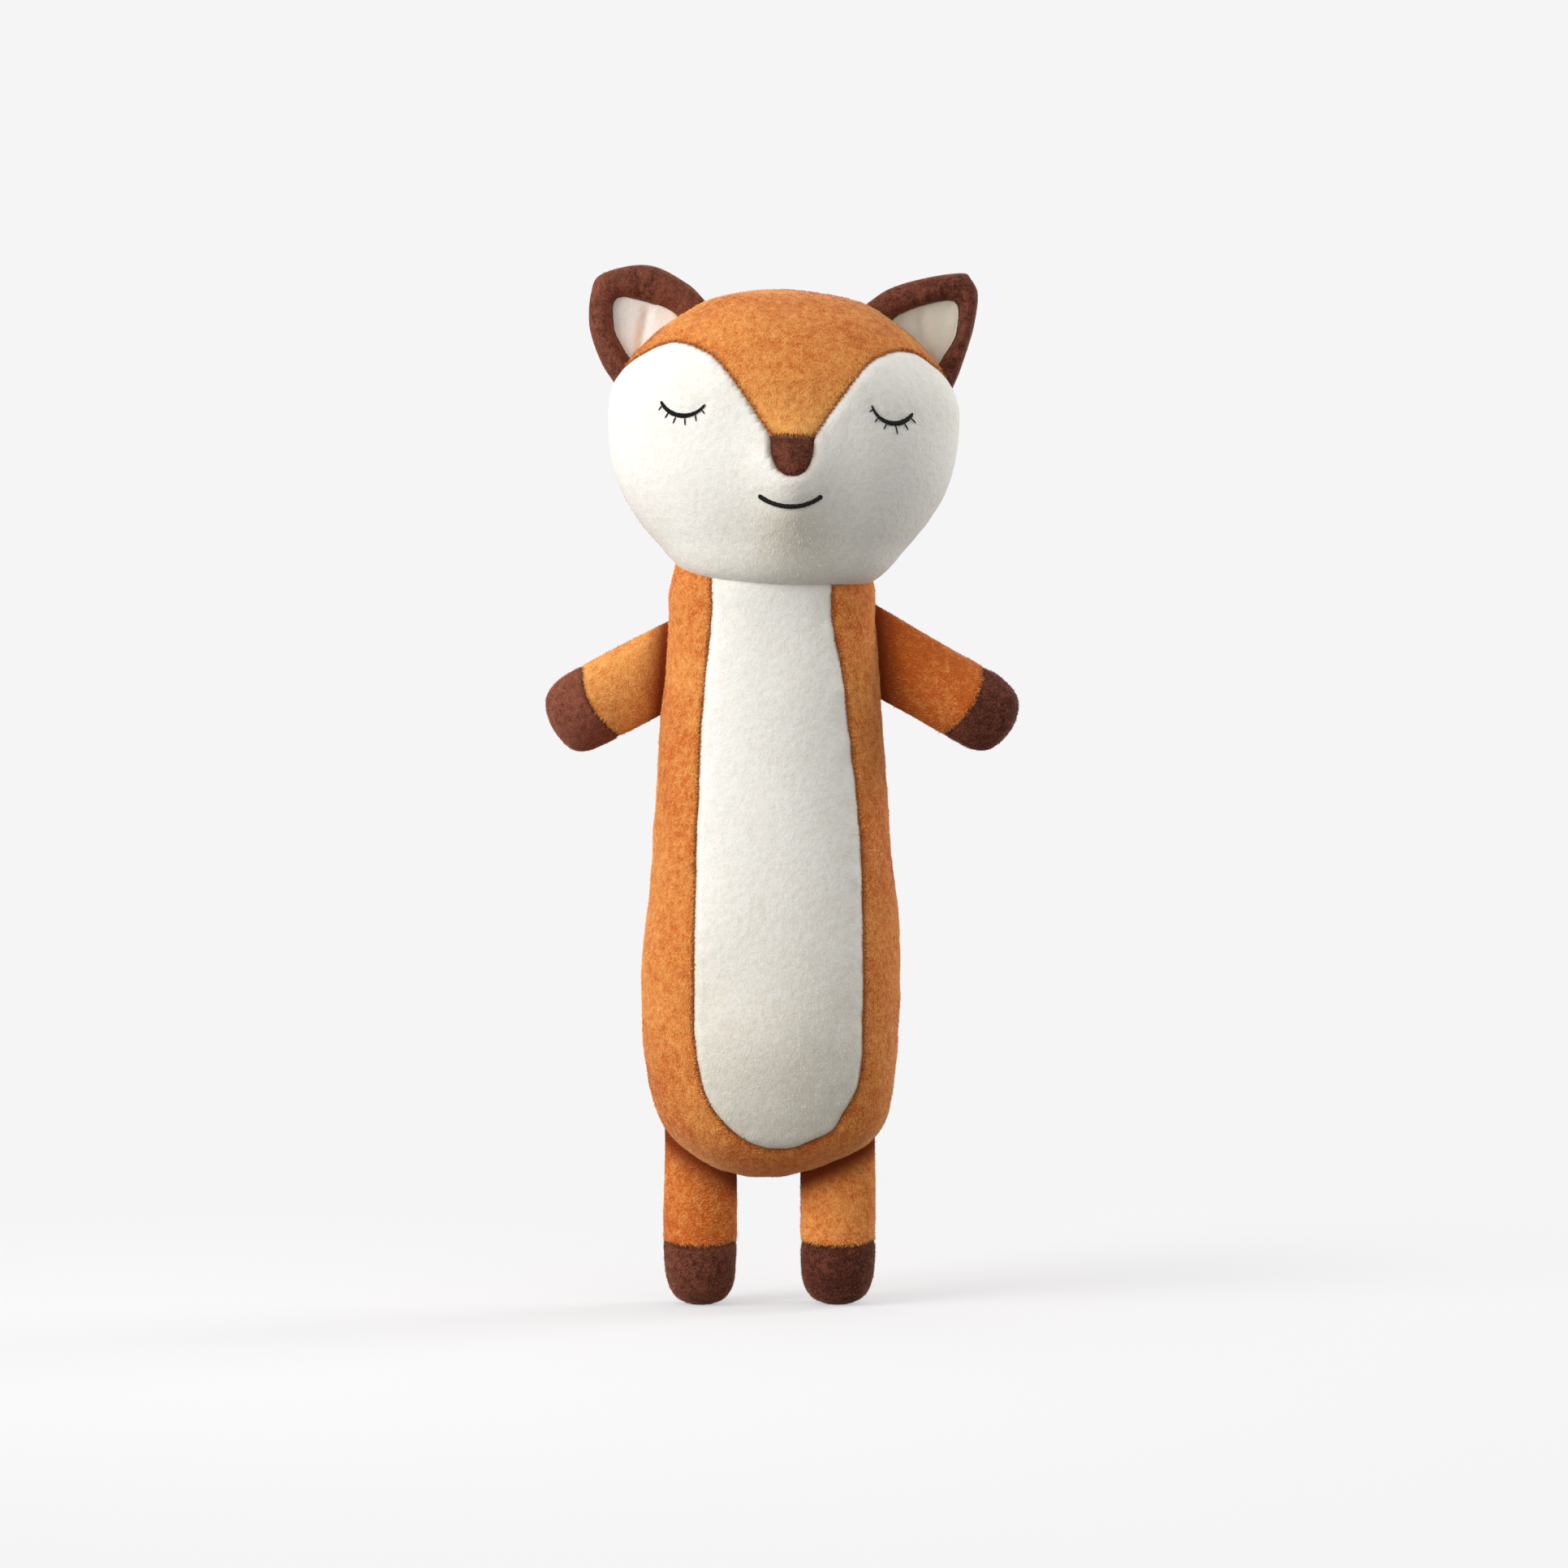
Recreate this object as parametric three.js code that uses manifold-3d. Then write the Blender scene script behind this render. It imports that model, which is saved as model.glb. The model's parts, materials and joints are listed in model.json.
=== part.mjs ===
// A sleepy plush fox: panels of cloth round stuffed forms, with ears and limbs that hinge where they are sewn on.
// Millimetres, +Z up. It stands on its soles and faces -Y, and left is -X.
import * as THREE from "three";
import { mergeVertices } from "three/addons/utils/BufferGeometryUtils.js";
import Module from "manifold-3d";

const wasm = await Module();
wasm.setup();

// Cloth, seams and joints
const clothThickness = 2;
const seamGap = 0.3; // between panels sewn edge to edge, and between cloth and stuffing
const jointGap = 0.3; // between a hinged piece and what it is sewn to
const neckGap = 0.6; // between the torso's rounded top and the hollow under the head

// Torso
const inseam = 44.2; // from the soles to the torso's underside
const torsoHeight = 204; // from its underside to the middle of the neck
const torsoWidth = 89.2;
const torsoDepth = 70;
const torsoOffset = -3.8; // the stuffed body leans a little to the left of its head
const bellyForward = 3;
const neckWidth = 70.6;
const neckDepth = 56;

// Belly panel
const bellyWidth = 58;
const bellyHeight = 195.3;
const bellyRise = 11; // from the torso's underside to the panel's lower edge
const bellyOffset = 2.4; // from the torso's middle

// Head
const headHeight = 103;
const headWidth = 121.6;
const headDepth = 88;
const headShift = 2.5; // from the torso's middle
const headTurnDegrees = 4;
const headTiltDegrees = 1.5;
const nodDegrees = 15; // forward, and back

// Face
const noseWidth = 15;
const noseHeight = 12.9;
const noseRise = 48.2; // from the middle of the neck to the nose's top edge
const threadHeight = 0.9;
const threadWidth = 1.8;
const mouthWidth = 21.6;
const mouthSag = 3.9;
const mouthDrop = 10.9; // from the nose's lower edge to the smile's lowest point
const eyeWidth = 16;
const eyeSag = 3.9;
const eyeSpacing = 71.2;
const eyeRise = 6.7; // from the nose's top edge to the lid's lowest point
const lashLength = 3.4;
const lashWidth = 1;
const lashCount = 7;

// Ears
const leftEarHeight = 30.2;
const rightEarHeight = 32.5;
const earThickness = 9;
const earRounding = 3;
const liningThickness = 2.5;
const liningDepth = 1.6; // from the rim's face back to the lining
const earFoldDegrees = 20;

// Arms
const leftShoulderRise = 176.3; // from the torso's underside to the middle of the arm's root
const rightShoulderRise = 181.3;
const armWidth = 27.4;
const armThickness = 20;
const armRootThickness = 4.4;
const leftArmLength = 44.3;
const rightArmLength = 52.6;
const leftArmDroopDegrees = 27.4;
const rightArmDroopDegrees = 30;
const pawLength = 19;
const armSwingDegrees = 60;

// Legs
const legWidth = 26.4;
const legThickness = 23;
const legRootThickness = 5;
const footLength = 20.3;
const soleFlat = 0.5; // how much of the rounded foot is cut flat
const legForwardDegrees = 60;
const legBackDegrees = 45;

// Counts that set how fine the forms are
const bodySides = 14;
const limbSides = 10;
const ringsPerRow = 2;
const outlineSteps = 400;
const seamSteps = 18;
const arcSteps = 8;
const roundingSteps = 2;
const sweepStepDegrees = 15;

// Outlines, as shares of the sizes that they follow
const fullnessShare = 0.91; // the power that makes a body's section fuller than an ellipse
const torsoSeatShares = [[0, 0], [0.02, 0.45], [0.08, 0.83]]; // height, width
const torsoSideShares = [[0.19, 0.84], [0.33, 1], [0.55, 0.68], [0.8, 0.3], [0.94, 0.05]]; // height, swell over the neck
const neckTopShares = [[0, 1], [0.5, 0.87], [0.87, 0.5], [1, 0]]; // height of the dome, width
const bellyShares = [
  [0.06, 0], [-0.41, 0.017], [-0.816, 0.082], [-0.98, 0.182], [-1, 0.309], [-0.951, 0.667], [-0.883, 0.803],
  [-0.796, 0.95], [-0.7, 1.2], [0.6, 1.2], [0.631, 0.95], [0.767, 0.83], [0.903, 0.652], [0.99, 0.452], [1, 0.245],
  [0.961, 0.126], [0.718, 0.05], [0.534, 0.023],
]; // across, up
const headShares = [
  [0, 0, 0, -0.3], [0.012, 0.47, 0.42, -0.27], [0.15, 0.74, 0.71, -0.13], [0.33, 0.93, 0.92, -0.04], [0.51, 1, 1, 0],
  [0.67, 0.97, 0.97, 0], [0.81, 0.79, 0.82, 0], [0.9, 0.61, 0.64, 0], [0.965, 0.4, 0.42, 0], [1, 0, 0, 0],
]; // height, width, depth, and how far forward the chin hangs
const browShares = [[1.2, 0.6], [0.995, 0.68], [0.855, 0.745], [0.658, 0.79], [0.452, 0.74], [0.288, 0.62]]; // across, up
const noseShares = [[-0.5, 0], [-0.47, -0.42], [-0.31, -0.83], [-0.13, -1]]; // across, up
const leftEarFootShares = [0.665, 0.83, 0.952]; // heights on the head of its outer corner, middle and inner corner
const rightEarFootShares = [0.68, 0.84, 0.958];
const leftEarShares = [[0, 0], [0.04, 0.29], [0.16, 0.66], [0.35, 0.92], [0.53, 1], [0.84, 0.73], [0.98, 0.29], [1, 0]];
const rightEarShares = [
  [0, 0], [0.073, 0.258], [0.218, 0.637], [0.385, 0.926], [0.52, 1], [0.6, 0.985], [0.77, 0.72], [0.94, 0.33], [1, 0],
]; // from the outer corner, up
const liningShares = [[0.22, 0], [0.25, 0.21], [0.31, 0.48], [0.48, 0.7], [0.66, 0.42], [0.75, 0.17], [0.75, 0]];
const earLetInShare = 0.3; // of the ear's height, let into the head before it is cut to fit
const hipSpreadShare = 0.267; // from the middle of the hips to the middle of each leg, of the torso's width
const hipShiftShare = -0.0135; // from the torso's middle
const limbBodyShares = [[-0.3, 0], [0, 0.06], [0.25, 0.55], [0.65, 1]]; // along, swell over the root
const limbTipShares = [[0.81, 0.9], [0.935, 0.58], [1, 0]]; // along, width
const pawBowShare = 0.12; // how far a paw's seam bows towards the tip, of the arm's width
const footBowShare = 0.03;

// Cloth, stuffing and thread
const cloth = (color) => new THREE.MeshStandardMaterial({ color, roughness: 0.95, metalness: 0 });
const orangePlush = cloth(0xe28c44);
const whitePlush = cloth(0xf1ede3);
const brownPlush = cloth(0x643a2c);
const filling = cloth(0xf7f5f0);
const blackThread = new THREE.MeshStandardMaterial({ color: 0x231813, roughness: 0.6, metalness: 0 });

const front = new THREE.Vector3(0, -1, 0);
const back = new THREE.Vector3(0, 1, 0);
const leftwards = new THREE.Vector3(-1, 0, 0);
const rightwards = new THREE.Vector3(1, 0, 0);

const radians = THREE.MathUtils.degToRad;
const mix = THREE.MathUtils.lerp;
const powered = (value, power) => Math.sign(value) * Math.abs(value) ** power;
const flat = (point) => new THREE.Vector2(point.x, point.y);
const mirrored = (points) => points.map((point) => new THREE.Vector3(-point.x, point.y, 0)).reverse();

// A closed geometry as a solid that can be joined and cut
function solid(geometry) {
  const bare = geometry.clone();
  bare.deleteAttribute("normal");
  bare.deleteAttribute("uv");
  const merged = mergeVertices(bare);
  const vertProperties = new Float32Array(merged.attributes.position.array);
  const triVerts = new Uint32Array(merged.index.array);
  return new wasm.Manifold(new wasm.Mesh({ numProp: 3, vertProperties, triVerts }));
}

// The named mesh of a solid, without the chips that a cut leaves beside the piece
function piece(name, shape, material) {
  const whole = shape.decompose().sort((a, b) => b.volume() - a.volume())[0];
  const { vertProperties, triVerts } = whole.getMesh();
  const geometry = new THREE.BufferGeometry();
  geometry.setAttribute("position", new THREE.Float32BufferAttribute(vertProperties, 3));
  geometry.setIndex([...triVerts]);
  geometry.computeVertexNormals();
  const mesh = new THREE.Mesh(geometry, material);
  mesh.name = name;
  return mesh;
}

// A closed surface through rings of equal length, with a point at each end
function loft(start, rings, end) {
  const sides = rings[0].length;
  const points = [start, ...rings.flat(), end];
  const faces = [];
  for (let i = 0; i < sides; i++) {
    const next = (i + 1) % sides;
    const last = 1 + (rings.length - 1) * sides;
    faces.push(0, 1 + next, 1 + i, last + i, last + next, points.length - 1);
    for (let below = 1; below < last; below += sides) {
      const above = below + sides;
      faces.push(below + i, below + next, above + next, below + i, above + next, above + i);
    }
  }
  const geometry = new THREE.BufferGeometry().setFromPoints(points);
  geometry.setIndex(faces);
  return solid(geometry);
}

// A ring of points round the Z axis, as a full oval
function oval(sides, halfWidth, halfDepth, power) {
  return Array.from({ length: sides }, (unused, index) => {
    const angle = (2 * Math.PI * index) / sides;
    return [halfWidth * powered(Math.cos(angle), power), halfDepth * powered(Math.sin(angle), power)];
  });
}

// Rows of numbers joined by a smooth curve
function curveThrough(rows) {
  const positions = rows.map((row, index) => index);
  return new THREE.CubicInterpolant(positions, rows.flat(), rows[0].length);
}

// A stuffed body from rows of height, half width, half depth and shift in Y, drawn in on every side by inset
function stuffedBody(rows, inset) {
  const count = (rows.length - 1) * ringsPerRow;
  const curve = curveThrough(rows);
  const smooth = Array.from({ length: count + 1 }, (unused, index) => [...curve.evaluate(index / ringsPerRow)]);
  const low = smooth[0][0];
  const high = smooth[count][0];
  const drawnIn = (height) => mix(low + inset, high - inset, (height - low) / (high - low));
  const rings = smooth.slice(1, -1).map(([height, halfWidth, halfDepth, shift]) =>
    oval(bodySides, halfWidth - inset, halfDepth - inset, fullnessShare).map(
      ([x, y]) => new THREE.Vector3(x, y + shift, drawnIn(height)),
    ),
  );
  const pole = ([height, , , shift]) => new THREE.Vector3(0, shift, drawnIn(height));
  return loft(pole(smooth[0]), rings, pole(smooth[count]));
}

// The first point of a body's front outline, from its base up, that passes the test
function outlinePoint(rows, side, passes) {
  const curve = curveThrough(rows);
  for (let step = 0; step < outlineSteps; step++) {
    const [height, halfWidth] = curve.evaluate(((rows.length - 1) * step) / outlineSteps);
    const point = new THREE.Vector3(side * halfWidth, 0, height);
    if (passes(point)) return point;
  }
  throw new Error("the outline has no such point");
}

// An outline moved outwards by margin
function grown(corners, margin) {
  const turn = THREE.ShapeUtils.area(corners) > 0 ? 1 : -1;
  return corners.map((corner, index) => {
    const before = corners.at(index - 1);
    const after = corners[(index + 1) % corners.length];
    const tangent = after.clone().sub(before).normalize();
    return new THREE.Vector2(tangent.y, -tangent.x).multiplyScalar(turn * margin).add(corner);
  });
}

// A prism along Y over an outline in X and Z, with its edges rounded by rounding
function prism(corners, frontY, backY, rounding = 0) {
  const settings = {
    depth: backY - frontY - 2 * rounding,
    bevelEnabled: rounding > 0,
    bevelThickness: rounding,
    bevelSize: rounding,
    bevelOffset: -rounding,
    bevelSegments: roundingSteps,
  };
  const geometry = new THREE.ExtrudeGeometry(new THREE.Shape(corners), settings).rotateX(Math.PI / 2);
  return solid(geometry.translate(0, backY - rounding, 0));
}

// What a shape has on one side of a plane through the origin, half a seam away from it
function halfOf(shape, side) {
  return shape.trimByPlane(side.toArray(), seamGap / 2);
}

// A solid as a group's own frame sees it
function seenFrom(shape, group) {
  group.updateMatrix();
  return shape.transform(group.matrix.clone().invert().elements);
}

// The place of a flat root on a body: X runs along the root, Y to the back and Z away from the body
function rootGroup(name, first, middle, last, inside) {
  const along = last.clone().sub(first).normalize();
  const outwards = new THREE.Vector3(-along.z, 0, along.x);
  if (outwards.dot(middle.clone().sub(inside)) < 0) outwards.negate();
  const right = new THREE.Vector3().crossVectors(back, outwards);
  const group = new THREE.Group();
  group.name = name;
  group.applyMatrix4(new THREE.Matrix4().makeBasis(right, back, outwards).setPosition(middle));
  return group;
}

// All that a neighbour takes up, as a piece sees it while it turns about its own X axis
function sweptRound(neighbour, lowDegrees, highDegrees) {
  const steps = Math.ceil((highDegrees - lowDegrees) / sweepStepDegrees);
  const turned = Array.from({ length: steps + 1 }, (unused, index) => {
    const angle = radians(mix(lowDegrees, highDegrees, index / steps));
    return neighbour.transform(new THREE.Matrix4().makeRotationX(-angle).elements);
  });
  return wasm.Manifold.union(turned);
}

// Torso: its origin is on the underside, in the middle, and the head nods on its rounded top
const torsoRows = [
  ...torsoSeatShares.map(([up, out]) => [up * torsoHeight, (out * torsoWidth) / 2, (out * torsoDepth) / 2, 0]),
  ...torsoSideShares.map(([up, swell]) => [
    up * torsoHeight,
    mix(neckWidth, torsoWidth, swell) / 2,
    mix(neckDepth, torsoDepth, swell) / 2,
    -bellyForward * swell,
  ]),
  ...neckTopShares.map(([up, out]) => [
    torsoHeight + (up * neckDepth) / 2,
    (out * neckWidth) / 2,
    (out * neckDepth) / 2,
    0,
  ]),
];
const torsoMiddle = new THREE.Vector3(0, 0, torsoHeight / 2);
const torsoForm = (inset) => stuffedBody(torsoRows, inset);

function makeTorso() {
  const group = new THREE.Group();
  group.position.set(torsoOffset, 0, inseam);
  const corners = bellyShares.map(
    ([across, up]) => new THREE.Vector3(bellyOffset + (across * bellyWidth) / 2, bellyRise + up * bellyHeight, 0),
  );
  const seam = new THREE.CatmullRomCurve3(corners, true).getPoints(seamSteps).slice(1).map(flat);
  const overBelly = (margin) => prism(grown(seam, margin), -torsoDepth, 0);
  const shell = torsoForm(0).subtract(torsoForm(clothThickness));
  const frontShell = halfOf(shell, front);
  const backShell = halfOf(shell, back);
  group.add(
    piece("belly_panel", frontShell.intersect(overBelly(-seamGap / 2)), whitePlush),
    piece("torso_front_panel", frontShell.subtract(overBelly(seamGap / 2)), orangePlush),
    piece("torso_back_left_panel", halfOf(backShell, leftwards), orangePlush),
    piece("torso_back_right_panel", halfOf(backShell, rightwards), orangePlush),
    piece("torso_stuffing", torsoForm(clothThickness + seamGap), filling),
  );
  return group;
}

// Head: its origin is in the middle of the neck
const headRows = headShares.map(([up, out, deep, forward]) => [
  up * headHeight,
  (out * headWidth) / 2,
  (deep * headDepth) / 2,
  (forward * headDepth) / 2,
]);
const headMiddle = new THREE.Vector3(0, 0, headHeight / 2);
const headForm = (inset) => stuffedBody(headRows, inset);

// All that lies below the brows, down both sides of the blaze to the nose
function faceOutline() {
  const brow = browShares.map(([across, up]) => new THREE.Vector3((across * headWidth) / 2, up * headHeight, 0));
  brow.push(new THREE.Vector3(noseWidth / 2, noseRise, 0));
  const right = new THREE.CatmullRomCurve3(brow).getPoints(seamSteps / 2);
  const below = [new THREE.Vector2(-headWidth, -headHeight), new THREE.Vector2(headWidth, -headHeight)];
  return [...[...right, ...mirrored(right)].map(flat), ...below];
}

function noseOutline() {
  const half = noseShares.map(([across, up]) => new THREE.Vector3(across * noseWidth, noseRise + up * noseHeight, 0));
  const left = new THREE.CatmullRomCurve3(half).getPoints(arcSteps);
  return [...left, ...mirrored(left)].map(flat);
}

// A band of thread over the foot of a circle: its lowest point is at the origin
function threadArc(width, sag) {
  const radius = (width ** 2 / 4 + sag ** 2) / (2 * sag);
  const sweep = Math.asin(width / (2 * radius));
  const start = -Math.PI / 2 - sweep;
  const end = -Math.PI / 2 + sweep;
  const band = new THREE.Shape();
  band.absarc(0, radius, radius + threadWidth / 2, start, end, false);
  band.absarc(0, radius, radius - threadWidth / 2, end, start, true);
  return { corners: band.getPoints(arcSteps), radius, sweep };
}

// A closed lid with its lashes
function closedEye() {
  const { corners, radius, sweep } = threadArc(eyeWidth, eyeSag);
  const lashes = Array.from({ length: lashCount }, (unused, index) => {
    const lash = new THREE.BoxGeometry(lashWidth, headDepth, lashLength);
    lash.translate(0, -headDepth / 2, -radius - lashLength / 2);
    const share = (index + 1 / 2) / lashCount;
    return solid(lash.rotateY(mix(sweep, -sweep, share)).translate(0, 0, radius));
  });
  return wasm.Manifold.union([prism(corners, -headDepth, 0), ...lashes]);
}

function makeHead() {
  const group = new THREE.Group();
  group.position.set(torsoOffset + headShift, 0, inseam + torsoHeight);
  group.rotation.set(0, radians(headTiltDegrees), radians(headTurnDegrees));
  const neck = torsoForm(-neckGap).translate([0, 0, -torsoHeight]);
  const nodded = sweptRound(neck, -nodDegrees, nodDegrees).trimByPlane([0, 0, 1], -neckDepth / 2).hull();
  const hollow = seenFrom(nodded.translate([torsoOffset, 0, inseam + torsoHeight]), group);
  const shell = headForm(0).subtract(headForm(clothThickness)).subtract(hollow);
  const frontShell = halfOf(shell, front);
  const backShell = halfOf(shell, back);
  const overFace = (margin) => prism(grown(faceOutline(), margin), -headDepth, 0);
  const overNose = (margin) => prism(grown(noseOutline(), margin), -headDepth, 0);
  const bare = frontShell.subtract(overNose(seamGap / 2));
  const thread = headForm(-seamGap - threadHeight).subtract(headForm(-seamGap));
  const smile = prism(threadArc(mouthWidth, mouthSag).corners, -headDepth, 0);
  const lowered = smile.translate([0, 0, noseRise - noseHeight - mouthDrop]);
  const eye = closedEye().translate([0, 0, noseRise + eyeRise]);
  group.add(
    piece("crown_panel", bare.subtract(overFace(seamGap / 2)), orangePlush),
    piece("face_panel", bare.intersect(overFace(-seamGap / 2)), whitePlush),
    piece("nose_patch", frontShell.intersect(overNose(-seamGap / 2)), brownPlush),
    piece("head_back_left_panel", halfOf(backShell, leftwards), orangePlush),
    piece("head_back_right_panel", halfOf(backShell, rightwards), orangePlush),
    piece("head_stuffing", headForm(clothThickness + seamGap).subtract(hollow), filling),
    piece("mouth_stitching", thread.intersect(lowered), blackThread),
    piece("left_eye_stitching", thread.intersect(eye.translate([-eyeSpacing / 2, 0, 0])), blackThread),
    piece("right_eye_stitching", thread.intersect(eye.translate([eyeSpacing / 2, 0, 0])), blackThread),
  );
  return group;
}

// An ear: a thick brown leaf whose rim stands round a sunken lining
function makeEar(name, side, height, shares, footShares) {
  const [first, middle, last] = footShares.map((share) =>
    outlinePoint(headRows, side, (point) => point.z >= share * headHeight),
  );
  const group = rootGroup(name, first, middle, last, headMiddle);
  const corner = first.clone().applyMatrix4(group.matrix.clone().invert());
  const length = first.distanceTo(last);
  const letIn = earLetInShare * height;
  const leaf = (leafShares) => {
    const points = leafShares.map(
      ([along, up]) => new THREE.Vector3(corner.x - side * along * length, corner.z + up * height, 0),
    );
    const curve = new THREE.CatmullRomCurve3(points).getPoints(seamSteps / 2).map(flat);
    const foot = [curve[curve.length - 1], curve[0]].map((end) => new THREE.Vector2(end.x, end.y - letIn));
    return [...curve, ...foot];
  };
  const face = -earThickness / 2;
  const sunk = face + liningDepth;
  const pocket = prism(grown(leaf(liningShares), seamGap), face - seamGap, sunk + liningThickness + seamGap);
  const whole = prism(leaf(shares), face, earThickness / 2, earRounding).subtract(pocket);
  const lining = prism(leaf(liningShares), sunk, sunk + liningThickness);
  const head = sweptRound(seenFrom(headForm(-jointGap), group), -earFoldDegrees, earFoldDegrees);
  group.add(
    piece(`${name}_back`, whole.subtract(head), brownPlush),
    piece(`${name}_lining`, lining.subtract(head), whitePlush),
  );
  return group;
}

// A limb along a leaning line, drawn in by inset: its flat root lies along X and its round tip is square to the line
function limbForm({ length, width, thickness, rootThickness, lean }, inset) {
  const rows = [
    ...limbBodyShares.map(([along, swell]) => [along * length, width / 2, mix(rootThickness, thickness, swell) / 2]),
    ...limbTipShares.map(([along, out]) => [along * length, (out * width) / 2, (out * thickness) / 2]),
  ];
  const hollow = inset > 0 ? rows.slice(rows.findIndex(([, , deep]) => deep > clothThickness + 2 * seamGap)) : rows;
  const low = hollow[0][0];
  const drawnIn = (along) => mix(low + inset, length - inset, (along - low) / (length - low));
  const centre = (along) => new THREE.Vector3(along * Math.sin(lean), 0, along * Math.cos(lean));
  const rings = hollow.slice(0, -1).map(([along, halfWidth, deep]) => {
    const turn = lean * THREE.MathUtils.clamp(along / length, 0, 1);
    const across = new THREE.Vector3(Math.cos(turn), 0, -Math.sin(turn)).divideScalar(Math.cos(lean - turn));
    return oval(limbSides, halfWidth - inset, deep - inset, 1).map(([x, y]) =>
      centre(drawnIn(along)).addScaledVector(across, x).addScaledVector(back, y),
    );
  });
  return loft(centre(drawnIn(low)), rings, centre(length - inset));
}

// All that lies beyond a seam across a limb's tip, which bows outwards in the middle
function beyondSeam({ length, width, thickness, lean, tipLength, bow }, margin) {
  const along = new THREE.Vector2(Math.sin(lean), Math.cos(lean));
  const across = new THREE.Vector2(along.y, -along.x);
  const place = (out, up) => across.clone().multiplyScalar(out).addScaledVector(along, up);
  const edge = Array.from({ length: arcSteps + 1 }, (unused, index) => {
    const share = mix(-1, 1, index / arcSteps);
    return place(share * width, length - tipLength + bow * (1 - share ** 2 * 4) - margin);
  });
  const corners = [...edge, place(width, length + width), place(-width, length + width)];
  return prism(corners, -thickness, thickness);
}

// A limb's sleeve, tip and stuffing, cut clear of the torso over its whole swing
function makeLimb(group, names, limb, lowDegrees, highDegrees, finish) {
  const torso = sweptRound(seenFrom(torsoForm(-jointGap), group), lowDegrees, highDegrees);
  const shell = limbForm(limb, 0).subtract(limbForm(limb, clothThickness));
  const stuffing = limbForm(limb, clothThickness + seamGap);
  const [sleeveName, tipName, stuffingName] = names;
  group.add(
    piece(sleeveName, shell.subtract(beyondSeam(limb, seamGap / 2)).subtract(torso), orangePlush),
    piece(tipName, finish(shell.intersect(beyondSeam(limb, -seamGap / 2)).subtract(torso)), brownPlush),
    piece(stuffingName, finish(stuffing.subtract(torso)), filling),
  );
  return group;
}

// The direction of a limb, seen from its group, as an angle from the group's Z towards its X
function leanOf(group, direction) {
  const seen = direction.clone().applyQuaternion(group.quaternion.clone().invert());
  return Math.atan2(seen.x, seen.z);
}

function makeArm(name, side, rise, length, droopDegrees) {
  const droop = radians(droopDegrees);
  const halfRoot = armWidth / (2 * Math.cos(droop));
  const [first, middle, last] = [rise - halfRoot, rise, rise + halfRoot].map((height) =>
    outlinePoint(torsoRows, side, (point) => point.z >= height),
  );
  const group = rootGroup(name, first, middle, last, torsoMiddle);
  const direction = new THREE.Vector3(side * Math.cos(droop), 0, -Math.sin(droop));
  const limb = {
    length,
    width: armWidth,
    thickness: armThickness,
    rootThickness: armRootThickness,
    lean: leanOf(group, direction),
    tipLength: pawLength,
    bow: pawBowShare * armWidth,
  };
  const names = [`${name}_sleeve`, `${name}_paw`, `${name}_stuffing`];
  return makeLimb(group, names, limb, -armSwingDegrees, armSwingDegrees, (shape) => shape);
}

function makeLeg(name, side) {
  const hip = (side * hipSpreadShare + hipShiftShare) * torsoWidth;
  const [first, middle, last] = [-legWidth / 2, 0, legWidth / 2].map((offset) =>
    outlinePoint(torsoRows, side, (point) => side * (point.x - hip) >= offset),
  );
  const group = rootGroup(name, first, middle, last, torsoMiddle);
  const limb = {
    length: middle.z + inseam + soleFlat,
    width: legWidth,
    thickness: legThickness,
    rootThickness: legRootThickness,
    lean: leanOf(group, new THREE.Vector3(0, 0, -1)),
    tipLength: footLength + soleFlat,
    bow: footBowShare * legWidth,
  };
  const names = [`${name}_sleeve`, `${name}_foot`, `${name}_stuffing`];
  const up = new THREE.Vector3(0, 0, 1).applyQuaternion(group.quaternion.clone().invert());
  const standing = (shape) => shape.trimByPlane(up.toArray(), -inseam - middle.z);
  return makeLimb(group, names, limb, -legBackDegrees, legForwardDegrees, standing);
}

const torso = makeTorso();
torso.add(
  makeArm("left_arm", -1, leftShoulderRise, leftArmLength, leftArmDroopDegrees),
  makeArm("right_arm", 1, rightShoulderRise, rightArmLength, rightArmDroopDegrees),
  makeLeg("left_leg", -1),
  makeLeg("right_leg", 1),
);
const head = makeHead();
head.add(
  makeEar("left_ear", -1, leftEarHeight, leftEarShares, leftEarFootShares),
  makeEar("right_ear", 1, rightEarHeight, rightEarShares, rightEarFootShares),
);
const fox = new THREE.Group();
fox.add(torso, head);

export default fox;
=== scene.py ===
# Dresses the plush fox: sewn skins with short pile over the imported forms, embroidery, floor, light and camera.
# Forms are worked out in millimetres and finished in metres. Left is -X and the face looks along -Y.
import json
import math

import bmesh
import bpy
import numpy as np
from mathutils import Matrix, Vector, noise
from mathutils.bvhtree import BVHTree


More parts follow.
